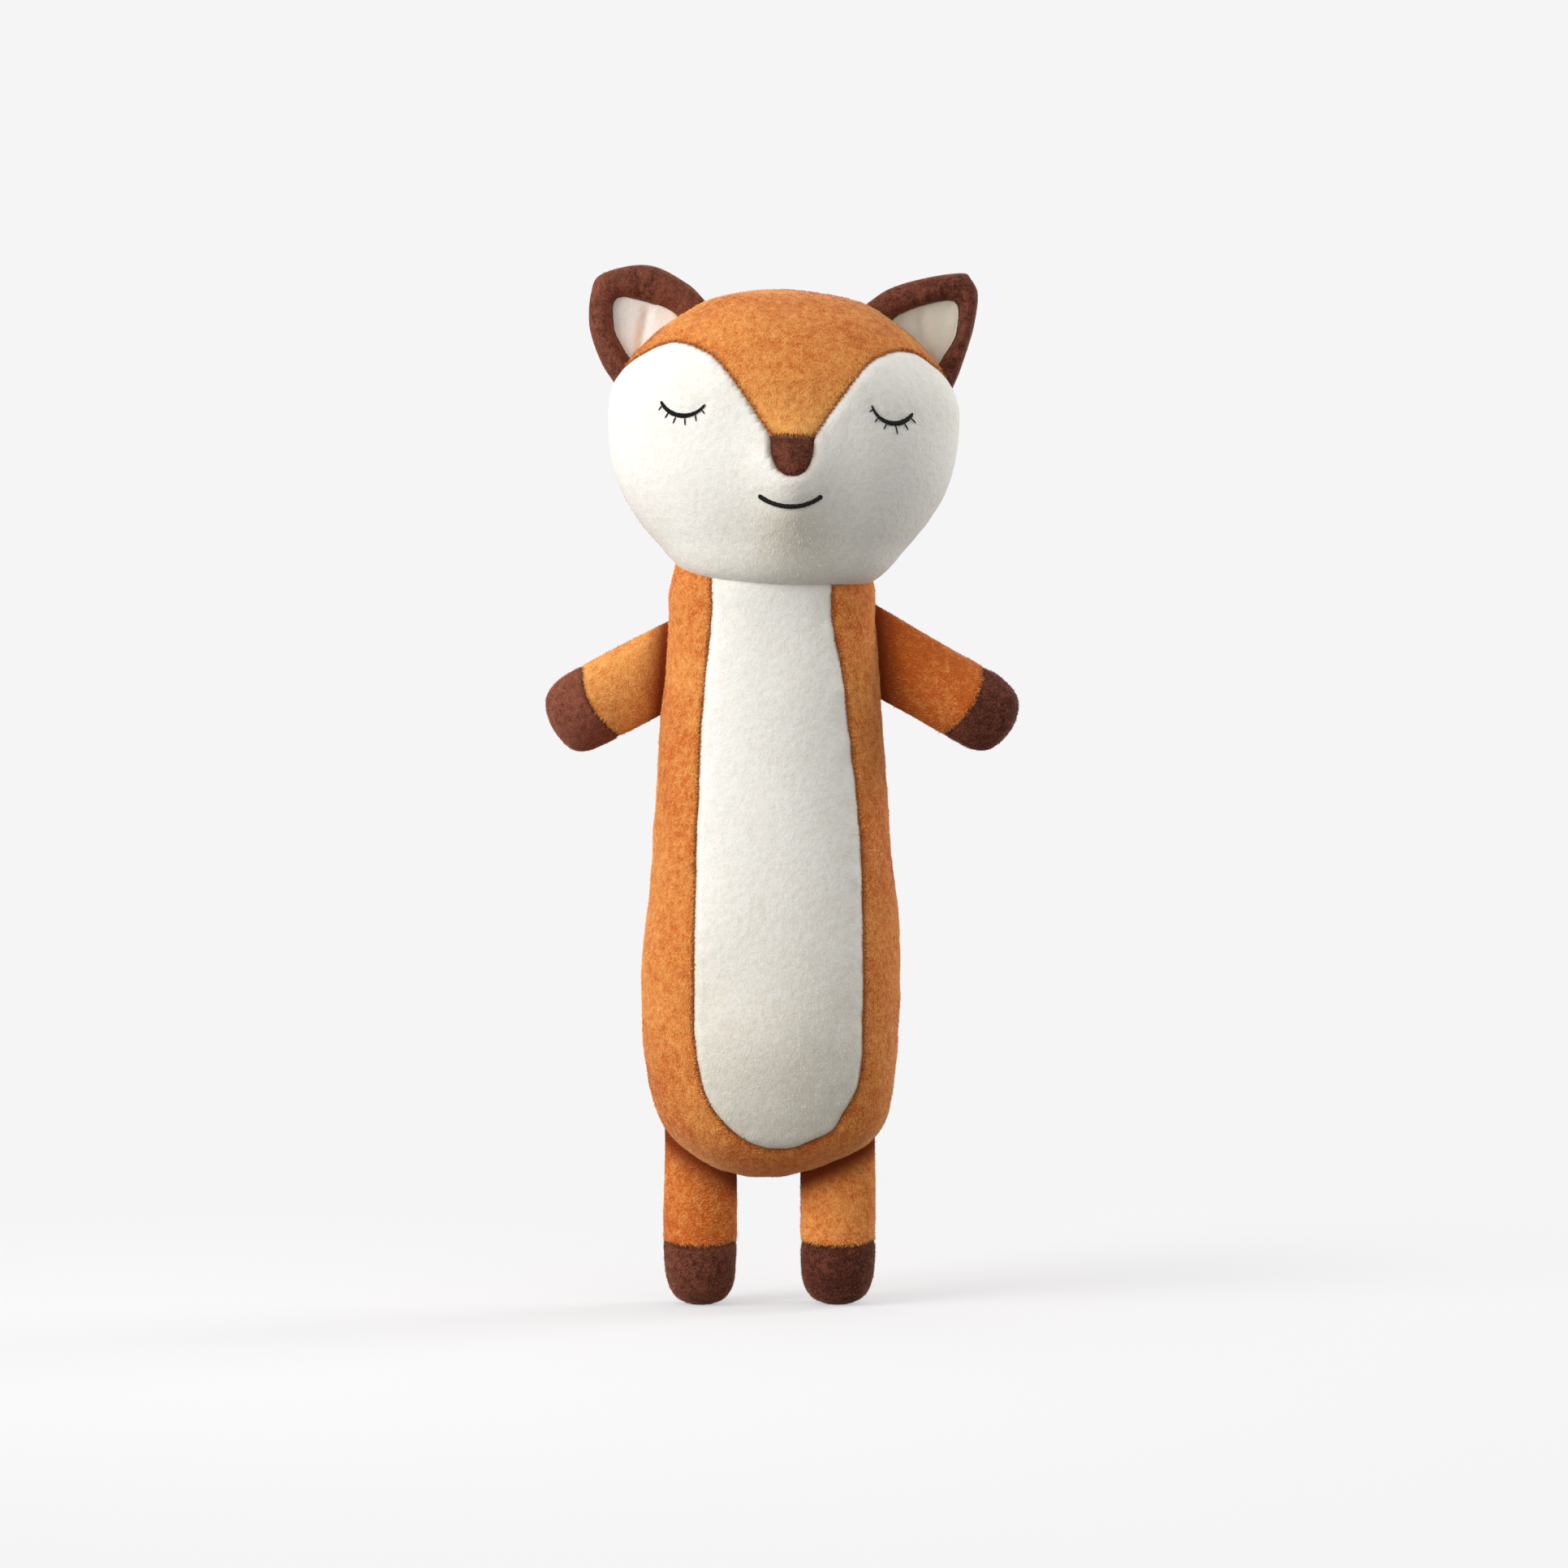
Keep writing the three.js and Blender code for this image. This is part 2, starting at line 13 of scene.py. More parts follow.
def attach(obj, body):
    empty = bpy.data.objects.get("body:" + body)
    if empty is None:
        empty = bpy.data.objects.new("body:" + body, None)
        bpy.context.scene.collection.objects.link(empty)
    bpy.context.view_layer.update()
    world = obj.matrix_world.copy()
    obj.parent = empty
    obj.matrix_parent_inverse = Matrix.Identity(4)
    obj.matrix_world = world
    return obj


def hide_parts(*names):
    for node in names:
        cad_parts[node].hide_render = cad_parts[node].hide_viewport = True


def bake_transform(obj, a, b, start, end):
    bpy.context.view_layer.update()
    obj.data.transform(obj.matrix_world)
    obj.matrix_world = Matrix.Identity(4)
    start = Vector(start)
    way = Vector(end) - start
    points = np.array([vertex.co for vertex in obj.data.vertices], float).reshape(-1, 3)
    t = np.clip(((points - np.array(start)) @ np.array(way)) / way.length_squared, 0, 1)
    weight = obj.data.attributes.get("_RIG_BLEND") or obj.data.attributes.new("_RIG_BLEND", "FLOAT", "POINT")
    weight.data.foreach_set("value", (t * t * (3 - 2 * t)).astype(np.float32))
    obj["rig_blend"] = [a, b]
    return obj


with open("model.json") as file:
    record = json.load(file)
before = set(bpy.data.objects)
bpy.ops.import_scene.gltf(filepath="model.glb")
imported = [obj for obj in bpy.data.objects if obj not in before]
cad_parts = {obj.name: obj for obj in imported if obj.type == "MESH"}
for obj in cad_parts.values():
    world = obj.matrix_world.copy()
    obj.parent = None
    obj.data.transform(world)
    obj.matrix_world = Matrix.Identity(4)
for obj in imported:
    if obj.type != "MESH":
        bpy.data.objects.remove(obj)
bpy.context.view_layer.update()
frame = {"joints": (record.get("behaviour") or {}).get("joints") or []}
scene = bpy.context.scene
joints = {joint["child"]: joint for joint in frame["joints"]}
toMetres = Matrix.Scale(0.001, 4)
farAway = 99.0


def addObject(name, data):
    thing = bpy.data.objects.new(name, data)
    scene.collection.objects.link(thing)
    return thing


def meshOf(name, bm, smooth=False):
    mesh = bpy.data.meshes.new(name)
    bm.to_mesh(mesh)
    bm.free()
    if smooth:
        mesh.polygons.foreach_set("use_smooth", [True] * len(mesh.polygons))
    return mesh


view = {"lens": 85, "frameWidth": 0.5438, "lookX": 0.0003, "lookHeight": 0.1802}
cameraData = bpy.data.cameras.new("photoCamera")
cameraData.lens = view["lens"]
cameraData.clip_start = 0.02
photoCamera = addObject("photoCamera", cameraData)
lensDistance = view["frameWidth"] * view["lens"] / cameraData.sensor_width
photoCamera.location = (view["lookX"], -lensDistance, view["lookHeight"])
photoCamera.rotation_euler = (math.radians(90), 0, 0)
scene.camera = photoCamera


def linear(red, green, blue):
    return tuple(((c / 255 + 0.055) / 1.055) ** 2.4 for c in (red, green, blue)) + (1,)


def setInputs(tree, node, inputs):
    for name, value in inputs.items():
        socket = node.inputs[name]
        if isinstance(value, bpy.types.NodeSocket):
            tree.links.new(value, socket)
        else:
            socket.default_value = value


def addNode(tree, kind, inputs=None, **settings):
    node = tree.nodes.new(kind)
    for name, value in settings.items():
        setattr(node, name, value)
    setInputs(tree, node, inputs or {})
    return node


def newMaterial(name):
    material = bpy.data.materials.new(name)
    material.use_nodes = True
    tree = material.node_tree
    return material, tree, addNode(tree, "ShaderNodeTexCoord").outputs["Object"]


def weighted(tree, parts, offset):
    # sockets added up by their weights
    total = offset
    for socket, weight in parts:
        total = addNode(tree, "ShaderNodeMath", {0: socket, 1: weight, 2: total}, operation="MULTIPLY_ADD").outputs[0]
    return total


# colours of each cloth from its roots to its tips, the colour of its seam lines and of the painted shade in its seams
# and at limb roots, and how its hairs grow
cloths = {
    "orange": {
        "deep": (196, 92, 30), "pale": (255, 190, 106), "sheenColour": (255, 222, 186), "sheen": 0.45,
        "seamAndPaintedShade": (132, 56, 18), "seamHair": 0.4, "bump": 0.6, "lift": 0.3, "slot": "orange_plush",
    },
    "white": {
        "deep": (226, 218, 201), "pale": (246, 243, 236), "sheenColour": (255, 253, 248), "sheen": 0.1,
        "seamAndPaintedShade": (216, 200, 176), "seamHair": -0.4, "bump": 0.3, "lift": 0.22, "slot": "white_plush",
    },
    "brown": {
        "deep": (66, 30, 20), "pale": (162, 94, 72), "sheenColour": (232, 170, 140), "sheen": 0.5,
        "seamAndPaintedShade": (58, 26, 18), "seamHair": -0.2, "bump": 0.6, "lift": 0.28, "slot": "brown_plush",
    },
}
# what mottles them: the scale, detail, distortion and weight of each cloud, then what the hairs add: a random tone,
# painted shade at their roots that pales towards their tips, and the lie of the nap with painted light and shade
nap = {
    "patches": [27, 2, 0.4, 0.7], "strokes": [120, 3, 0.8, 0.4],
    "clumps": [430, 2, 0, 0.85], "grain": [1500, 2, 0, 1],
    "hairs": {"tone": 0.6, "tip": 0.4, "napAndPaintedLight": 1}, "offset": -1.24, "seamAndShadeStrength": 0.75,
    "clumpHeight": 0.7, "grainHeight": 0.3, "bumpDistance": 0.0012,
    "roughness": 0.9, "specular": 0.15, "sheenRoughness": 0.4,
}
yarn = {"strandScale": 2600, "bump": 0.4, "bumpDistance": 0.0002, "roughness": 0.5, "specular": 0.25}


def plushMaterial(name, cloth):
    material, tree, place = newMaterial(name)

    def cloud(kind):
        scale, detail, distortion, weight = nap[kind]
        settings = {"Vector": place, "Scale": scale, "Detail": detail, "Roughness": 0.5, "Distortion": distortion}
        return addNode(tree, "ShaderNodeTexNoise", settings).outputs["Fac"], weight

    def drawn(attribute):
        return addNode(tree, "ShaderNodeAttribute", attribute_name=attribute).outputs["Fac"]

    clouds = [cloud(kind) for kind in ("patches", "strokes", "clumps", "grain")]
    hairs = [(drawn(attribute), weight) for attribute, weight in nap["hairs"].items()]
    share = weighted(tree, clouds + hairs, nap["offset"])
    colour = addNode(
        tree, "ShaderNodeMix", {0: share, 6: linear(*cloth["deep"]), 7: linear(*cloth["pale"])}, data_type="RGBA"
    )
    # darkening at the seam lines, with painted shade in the seam grooves and a painted shadow at limb roots
    seamAndPaintedShade = {0: drawn("shade"), 1: nap["seamAndShadeStrength"]}
    hidden = addNode(tree, "ShaderNodeMath", seamAndPaintedShade, operation="MULTIPLY").outputs[0]
    shaded = addNode(
        tree, "ShaderNodeMix", {0: hidden, 6: colour.outputs[2], 7: linear(*cloth["seamAndPaintedShade"])}, data_type="RGBA"
    )
    rough = weighted(tree, [(clouds[2][0], nap["clumpHeight"]), (clouds[3][0], nap["grainHeight"])], 0.0)
    relief = {"Height": rough, "Strength": cloth["bump"], "Distance": nap["bumpDistance"]}
    bump = addNode(tree, "ShaderNodeBump", relief)
    look = {
        "Base Color": shaded.outputs[2], "Normal": bump.outputs[0], "Roughness": nap["roughness"],
        "Specular IOR Level": nap["specular"], "Sheen Weight": cloth["sheen"],
        "Sheen Roughness": nap["sheenRoughness"], "Sheen Tint": linear(*cloth["sheenColour"]),
    }
    setInputs(tree, tree.nodes["Principled BSDF"], look)
    return material


def threadMaterial(name, deep, pale):
    material, tree, place = newMaterial(name)
    noiseSettings = {"Vector": place, "Scale": yarn["strandScale"], "Detail": 2}
    strands = addNode(tree, "ShaderNodeTexNoise", noiseSettings).outputs["Fac"]
    colour = addNode(tree, "ShaderNodeMix", {0: strands, 6: linear(*deep), 7: linear(*pale)}, data_type="RGBA")
    relief = {"Height": strands, "Strength": yarn["bump"], "Distance": yarn["bumpDistance"]}
    bump = addNode(tree, "ShaderNodeBump", relief)
    look = {
        "Base Color": colour.outputs[2], "Normal": bump.outputs[0], "Roughness": yarn["roughness"],
        "Specular IOR Level": yarn["specular"],
    }
    setInputs(tree, tree.nodes["Principled BSDF"], look)
    return material


for colourName, cloth in cloths.items():
    cloth["material"] = plushMaterial(f"{colourName}Plush", cloth)
blackThread = threadMaterial("blackThread", (8, 5, 5), (30, 23, 21))
rustThread = threadMaterial("rustThread", (150, 70, 26), (214, 122, 58))
print("cloth and thread ready")


def smoothCurve(rows, ends="straight"):
    # a curve through rows of numbers; a domed end is a pole that it runs over square
    rows = np.array(rows, float)
    if ends == "closed":
        wider = np.vstack([rows[-1], rows, rows[:2]])
        spans = len(rows)
    else:
        overPole = [1, -1, -1, 1]
        first = rows[1] * overPole if ends == "domed" else 2 * rows[0] - rows[1]
        last = rows[-2] * overPole if ends in ("domed", "tip") else 2 * rows[-1] - rows[-2]
        wider = np.vstack([first, rows, last])
        spans = len(rows) - 1

    def at(t):
        t = np.clip(np.asarray(t, float), 0, spans)
        whole = np.minimum(t.astype(int), spans - 1)
        s = (t - whole)[..., None]
        a, b, c, d = (wider[whole + step] for step in range(4))
        return b + 0.5 * s * (c - a + s * (2 * a - 5 * b + 4 * c - d + s * (3 * (b - c) + d - a)))

    return at, spans


def lengthsAlong(line):
    return np.concatenate([[0], np.cumsum(np.linalg.norm(np.diff(line, axis=0), axis=1))])


def evenSteps(curve, spans, columns):
    # the curve's own parameter at even lengths along it
    t = np.linspace(0, spans, 600)
    length = lengthsAlong(curve(t)[:, columns])
    return lambda share: np.interp(np.asarray(share) * length[-1], length, t)


def powered(value, power):
    return np.sign(value) * np.abs(value) ** power


def outlineThrough(points, ends="closed", count=120):
    curve, spans = smoothCurve(points, ends)
    return curve(np.linspace(0, spans, count, endpoint=ends != "closed"))


def outsideDistance(outline, points):
    # how far points lie outside an outline in X and Z, less than 0 inside it
    a, b = outline, np.roll(outline, -1, axis=0)
    p = points[:, None, [0, 2]]
    along = b - a
    share = np.clip(((p - a) * along).sum(-1) / np.maximum((along**2).sum(-1), 1e-12), 0, 1)
    gap = np.linalg.norm(p - a - share[..., None] * along, axis=-1).min(1)
    above = (a[:, 1] > p[..., 1]) != (b[:, 1] > p[..., 1])
    rise = np.where(np.abs(along[:, 1]) < 1e-9, 1e-9, along[:, 1])
    crossing = above & (p[..., 0] < a[:, 0] + (p[..., 1] - a[:, 1]) / rise * along[:, 0])
    return np.where(crossing.sum(1) % 2 == 1, -gap, gap)


def noiseAt(points, scale, seed):
    return np.array([noise.noise(Vector(point) * scale + Vector((seed, 0, 0))) for point in points])


def stuffedSurface(rows, fullness=0.91):
    # rows of height, half width, half depth and shift; u runs round from the back, v from base to top
    curve, spans = smoothCurve(rows, "domed")
    step = evenSteps(curve, spans, [0, 1])

    def surface(u, v):
        height, width, depth, shift = curve(step(v)).T
        angle = 2 * np.pi * u + np.pi / 2
        x = width * powered(np.cos(angle), fullness)
        y = depth * powered(np.sin(angle), fullness) + shift
        return np.stack([x, y, height], axis=1)

    return surface


def formMesh(surface, sides, rings):
    # a grid laid on the form and closed at its poles and down its back; each point keeps its place on the form
    bm = bmesh.new()
    bm.loops.layers.uv.new("OFBake")
    around = bm.verts.layers.float.new("around")
    along = bm.verts.layers.float.new("along")
    bmesh.ops.create_grid(bm, x_segments=sides, y_segments=rings, size=0.5, calc_uvs=True)
    params = np.array([vert.co[:2] for vert in bm.verts]) + 0.5
    for vert, (u, v), point in zip(bm.verts, params, surface(*params.T)):
        vert[around], vert[along] = u, v
        vert.co = point
    bmesh.ops.remove_doubles(bm, verts=bm.verts, dist=1e-3)
    bmesh.ops.recalc_face_normals(bm, faces=bm.faces)
    return bm


def pointsOf(bm):
    return np.array([vert.co for vert in bm.verts])


def sewAlong(bm, surface, distance, held):
    # moves the nearest points of the mesh onto a seam line and parts the faces that the line still crosses
    bm.verts.index_update()
    verts = list(bm.verts)
    around, along = bm.verts.layers.float["around"], bm.verts.layers.float["along"]
    params = np.array([(vert[around], vert[along]) for vert in verts])
    gap = distance(pointsOf(bm))
    nearest = {}
    for edge in bm.edges:
        a, b = (vert.index for vert in edge.verts)
        if gap[a] * gap[b] >= 0:
            continue
        crossing = gap[a] / (gap[a] - gap[b])
        fromStart = crossing < 0.5
        if (verts[a] in held) != (verts[b] in held):
            fromStart = verts[b] in held
        near, far, part = (a, b, crossing) if fromStart else (b, a, 1 - crossing)
        if near not in nearest or part < nearest[near][1]:
            nearest[near] = (far, part)
    near = np.array(list(nearest))
    far, part = (np.array([nearest[i][k] for i in near]) for k in (0, 1))
    start = params[near]
    across = params[far] - start
    across[:, 0] -= np.round(across[:, 0])
    for attempt in range(4):
        spots = start + across * part[:, None]
        part = np.clip(part + distance(surface(*spots.T)) / (gap[near] - gap[far]), 0, 1)
    spots = start + across * part[:, None]
    for i, place, (u, v) in zip(near, surface(*spots.T), spots):
        verts[i].co = place
        verts[i][around], verts[i][along] = u, v
    gap[near] = 0
    onSeam = {vert for vert, value in zip(verts, gap) if abs(value) < 1e-6}
    for face in list(bm.faces):
        signs = [gap[vert.index] for vert in face.verts]
        ends = [vert for vert in face.verts if vert in onSeam]
        if min(signs) < -1e-6 and max(signs) > 1e-6 and len(ends) == 2:
            bmesh.utils.face_split(face, ends[0], ends[1])
    held |= onSeam


def labelPanels(bm, panelOf):
    label = bm.faces.layers.int.new("panel")
    centres = np.array([face.calc_center_median() for face in bm.faces])
    for face, number in zip(bm.faces, panelOf(centres)):
        face[label] = int(number)
    bm.normal_update()


# reaches and depths in millimetres, noise scales for each millimetre, and how much painted shade plain seams and limb
# roots get
dressing = {
    "slopeStep": 0.4, "lumpScale": 0.03, "puckerScale": 0.17, "puckerReach": 7, "swirlScale": 0.05, "seamReach": 1.9,
    "down": (0, 0, -0.6), "plainShade": 0.3, "plainShadeWidth": 0.7, "rootShade": 1.4,
    "threadClear": 0.5, "threadFade": 1.4, "leastPile": 0.05, "threadSink": 0.35, "threadSinkWidth": 1.3,
}


def dressForm(bm, seams, plainSeams, soft, seed, toThread=None, fromRoot=None):
    # presses the seams in, leaves the stuffing's lumps and puckers, paints shade along the seams and at a limb's
    # root, and combs the pile down and over the seams, but not over the plain ones
    points = pointsOf(bm)
    normals = np.array([vert.normal for vert in bm.verts])
    crossed = np.full(len(points), farAway)
    across = np.zeros((len(points), 3))
    for distance in seams:
        here = distance(points)
        steps = np.eye(3) * dressing["slopeStep"]
        slope = np.stack([distance(points + step) - distance(points - step) for step in steps], axis=1)
        slope *= -np.sign(here)[:, None] / np.maximum(np.linalg.norm(slope, axis=1), 1e-6)[:, None]
        closer = np.abs(here) < crossed
        crossed = np.where(closer, np.abs(here), crossed)
        across[closer] = slope[closer]
    plain = np.min([np.abs(distance(points)) for distance in plainSeams] + [np.full(len(points), farAway)], axis=0)
    gap = np.minimum(crossed, plain)
    sink = soft["groove"] * np.exp(-((gap / soft["grooveWidth"]) ** 2))
    sink = sink - soft["lumps"] * noiseAt(points, dressing["lumpScale"], seed)
    puckers = noiseAt(points, dressing["puckerScale"], seed)
    sink += soft["puckers"] * puckers * np.exp(-((gap / dressing["puckerReach"]) ** 2))
    swirl = np.stack([noiseAt(points, dressing["swirlScale"], seed + k) for k in (10, 20, 30)], axis=1)
    byTheSeam = np.exp(-((crossed / dressing["seamReach"]) ** 2))[:, None]
    lean = (np.array(dressing["down"]) + swirl) * (1 - byTheSeam) + across * byTheSeam
    lean -= normals * (lean * normals).sum(1)[:, None]
    lean /= np.maximum(np.linalg.norm(lean, axis=1), 1e-6)[:, None]
    cut = np.ones(len(points))
    # the seam lines darken, with painted shade in their grooves and less in the plain seams
    plainShade = dressing["plainShade"] * np.exp(-((plain / dressing["plainShadeWidth"]) ** 2))
    shade = np.exp(-((crossed / soft["shadeWidth"]) ** 2)) + plainShade
    if toThread is not None:
        close = toThread(points)
        cut = np.clip((close - dressing["threadClear"]) / dressing["threadFade"], dressing["leastPile"], 1)
        sink += dressing["threadSink"] * np.exp(-((close / dressing["threadSinkWidth"]) ** 2))
    # a painted shadow on a limb's root, where the body above shades it
    if fromRoot is not None:
        reach = np.maximum(fromRoot(points), 0) / soft["rootShadeWidth"]
        shade = np.maximum(shade, dressing["rootShade"] * np.exp(-(reach**2)))
    layers = [bm.verts.layers.float.new(name) for name in ("seam", "cut", "shade")]
    napLayer = bm.verts.layers.float_vector.new("nap")
    pressed = points - normals * sink[:, None]
    for vert, place, way, *values in zip(bm.verts, pressed, lean, crossed, cut, shade):
        vert.co = place
        vert[napLayer] = way
        for layer, value in zip(layers, values):
            vert[layer] = value
    bm.normal_update()


def cutPanel(bm, number, fold=1.5):
    # a copy with one panel's faces, whose cut edges turn in at the seam
    panel = bm.copy()
    label = panel.faces.layers.int["panel"]
    outside = [face for face in panel.faces if face[label] != number]
    bmesh.ops.delete(panel, geom=outside, context="FACES")
    edges = [edge for edge in panel.edges if edge.is_boundary]
    turned = bmesh.ops.extrude_edge_only(panel, edges=edges)["geom"]
    for vert in turned:
        if isinstance(vert, bmesh.types.BMVert):
            vert.co -= vert.normal * fold
    return panel


pile = {
    "length": 1.05, "radius": 0.16, "flatness": 0.35, "shortest": 0.6, "longest": 1.05, "spread": 0.32,
    "curl": 1.2, "curlScale": 420, "perSquareMillimetre": 2.3, "seamReach": 1.2, "seamCrowding": 0.6,
}


def makeStrand():
    bm = bmesh.new()
    bmesh.ops.create_cone(bm, segments=3, radius1=pile["radius"], radius2=0, depth=pile["length"], cap_ends=True)
    bmesh.ops.translate(bm, vec=(0, 0, pile["length"] / 2), verts=bm.verts)
    tip = bm.verts.layers.float.new("tip")
    for vert in bm.verts:
        vert[tip] = vert.co.z / pile["length"]
    bmesh.ops.scale(bm, vec=(1, pile["flatness"], 1), verts=bm.verts)
    bmesh.ops.transform(bm, matrix=toMetres, verts=bm.verts)
    return addObject("strand", meshOf("strand", bm))


def pileNodes(strand):
    tree = bpy.data.node_groups.new("shortPile", "GeometryNodeTree")
    for side in ("INPUT", "OUTPUT"):
        tree.interface.new_socket("Geometry", in_out=side, socket_type="NodeSocketGeometry")
    tree.interface.new_socket("Seed", in_out="INPUT", socket_type="NodeSocketInt")
    source = addNode(tree, "NodeGroupInput")
    skin = source.outputs["Geometry"]

    def drawn(name, kind="FLOAT"):
        return addNode(tree, "GeometryNodeInputNamedAttribute", {"Name": name}, data_type=kind).outputs[0]

    def vectors(operation, first, second):
        slot = "Scale" if operation == "SCALE" else 1
        return addNode(tree, "ShaderNodeVectorMath", {0: first, slot: second}, operation=operation).outputs[0]

    roots = addNode(
        tree,
        "GeometryNodeDistributePointsOnFaces",
        {"Mesh": skin, "Density": drawn("pileDensity"), "Seed": source.outputs["Seed"]},
    )
    normal = roots.outputs["Normal"]
    spread = pile["spread"]
    stray = addNode(
        tree,
        "FunctionNodeRandomValue",
        {"Min": (-spread,) * 3, "Max": (spread,) * 3, "Seed": 3},
        data_type="FLOAT_VECTOR",
    ).outputs[0]
    cloud = addNode(tree, "ShaderNodeTexNoise", {"Scale": pile["curlScale"], "Detail": 1}).outputs["Color"]
    tree.links.new(addNode(tree, "GeometryNodeInputPosition").outputs[0], cloud.node.inputs["Vector"])
    curl = vectors("SCALE", vectors("SUBTRACT", cloud, (0.5, 0.5, 0.5)), pile["curl"])
    way = vectors("ADD", drawn("nap", "FLOAT_VECTOR"), vectors("SCALE", normal, drawn("pileLift")))
    way = vectors("ADD", way, vectors("ADD", stray, curl))
    turn = addNode(
        tree,
        "FunctionNodeAxesToRotation",
        {"Primary Axis": way, "Secondary Axis": normal},
        primary_axis="Z",
        secondary_axis="Y",
    ).outputs[0]
    lengths = {2: pile["shortest"], 3: pile["longest"], "Seed": 5}
    unequal = addNode(tree, "FunctionNodeRandomValue", lengths, data_type="FLOAT").outputs[1]
    size = addNode(tree, "ShaderNodeMath", {0: unequal, 1: drawn("pileLength")}, operation="MULTIPLY").outputs[0]
    strands = addNode(tree, "GeometryNodeObjectInfo", {"Object": strand}).outputs["Geometry"]
    scattered = addNode(
        tree,
        "GeometryNodeInstanceOnPoints",
        {"Points": roots.outputs["Points"], "Instance": strands, "Rotation": turn, "Scale": size},
    ).outputs[0]
    tone = addNode(tree, "FunctionNodeRandomValue", {2: 0.0, 3: 1.0, "Seed": 9}, data_type="FLOAT").outputs[1]
    toned = addNode(
        tree,
        "GeometryNodeStoreNamedAttribute",
        {"Geometry": scattered, "Name": "tone", "Value": tone},
        data_type="FLOAT",
        domain="INSTANCE",
    ).outputs[0]
    real = addNode(tree, "GeometryNodeRealizeInstances", {"Geometry": toned}).outputs[0]
    joined = addNode(tree, "GeometryNodeJoinGeometry")
    for part in (real, skin):
        tree.links.new(part, joined.inputs[0])
    addNode(tree, "NodeGroupOutput", {"Geometry": joined.outputs[0]})
    return tree


strand = makeStrand()
pileTree = pileNodes(strand)
seedSocket = next(item.identifier for item in pileTree.interface.items_tree if item.name == "Seed")
seeds = iter(range(1, 99))


def growPile(name, mesh):
    # the same mesh with its pile grown and made real
    piece = addObject(name, mesh)
    grown = piece.modifiers.new("pile", "NODES")
    grown.node_group = pileTree
    grown[seedSocket] = next(seeds)
    depsgraph = bpy.context.evaluated_depsgraph_get()
    finished = bpy.data.meshes.new_from_object(
        piece.evaluated_get(depsgraph), preserve_all_data_layers=True, depsgraph=depsgraph
    )
    piece.modifiers.clear()
    piece.data = finished
    return piece


def finishPanel(name, panel, cloth, nodes, place, grown=lambda co: (1, 0)):
    # grown gives the pile's share of its full length at a place, and how much lighter its colour is there, partly for
    # the lie of its nap and partly as painted light and shade
    seam, cut = (panel.verts.layers.float[layer] for layer in ("seam", "cut"))
    newLayers = ("pileLength", "pileDensity", "pileLift", "napAndPaintedLight")
    lengthLayer, densityLayer, liftLayer, napAndPaintedLightLayer = (panel.verts.layers.float.new(layer) for layer in newLayers)
    for vert in panel.verts:
        overSeam = math.exp(-((vert[seam] / pile["seamReach"]) ** 2))
        share, vert[napAndPaintedLightLayer] = grown(vert.co)
        vert[lengthLayer] = share * vert[cut] * (1 + cloth["seamHair"] * overSeam)
        crowding = 1 + pile["seamCrowding"] * overSeam
        vert[densityLayer] = pile["perSquareMillimetre"] * 1e6 * crowding if share else 0
        vert[liftLayer] = cloth["lift"]
    napLayer = panel.verts.layers.float_vector["nap"]
    for vert in panel.verts:
        vert[napLayer] = place.to_3x3() @ vert[napLayer]
    bmesh.ops.transform(panel, matrix=toMetres @ place, verts=panel.verts)
    piece = growPile(name, meshOf(name, panel, smooth=True))
    finished = piece.data
    places = np.empty(len(finished.vertices) * 3, np.float32)
    finished.vertices.foreach_get("co", places)
    places[2::3] = np.maximum(places[2::3], 0)  # pressed flat where it stands
    finished.vertices.foreach_set("co", places)
    finished.materials.clear()
    finished.materials.append(cloth["material"])
    finished.polygons.foreach_set("material_index", [0] * len(finished.polygons))
    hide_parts(*nodes)
    print(name, len(finished.polygons), "faces")
    return piece


tufts = {
    "spacing": 1.75, "halfLength": 0.6, "halfWidth": 0.2, "height": 0.3, "raise": 0.15, "lean": 30, "outwards": 0.1,
    "wander": 25, "shortest": 0.6, "longest": 1.3, "ahead": 0.5,
}
stitch = {"castFrom": -200, "steepest": -0.25, "segments": 8, "rings": 6}
unevenness = np.random.default_rng(5)


def stitchOn(bm, skin, x, z, angle, sizes, lift):
    # one stitch laid on the front of a form, across a line at this angle
    spot, normal, _, _ = skin.ray_cast(Vector((x, stitch["castFrom"], z)), Vector((0, 1, 0)))
    if spot is None or normal.y > stitch["steepest"]:
        return
    away = Vector((math.sin(angle), 0, -math.cos(angle)))
    away = (away - normal * away.dot(normal)).normalized()
    columns = [axis * size for axis, size in zip((normal.cross(away), away, normal), sizes)]
    matrix = Matrix(columns).transposed().to_4x4()
    matrix.translation = spot + normal * lift
    bmesh.ops.create_uvsphere(
        bm, u_segments=stitch["segments"], v_segments=stitch["rings"], radius=1, matrix=matrix
    )


def finishStitches(name, bm, place, material, body):
    bmesh.ops.recalc_face_normals(bm, faces=bm.faces)
    bmesh.ops.transform(bm, matrix=toMetres @ place, verts=bm.verts)
    mesh = meshOf(name, bm, smooth=True)
    mesh.materials.append(material)
    piece = addObject(name, mesh)
    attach(piece, body)
    print(name, len(mesh.polygons), "faces")
    return piece


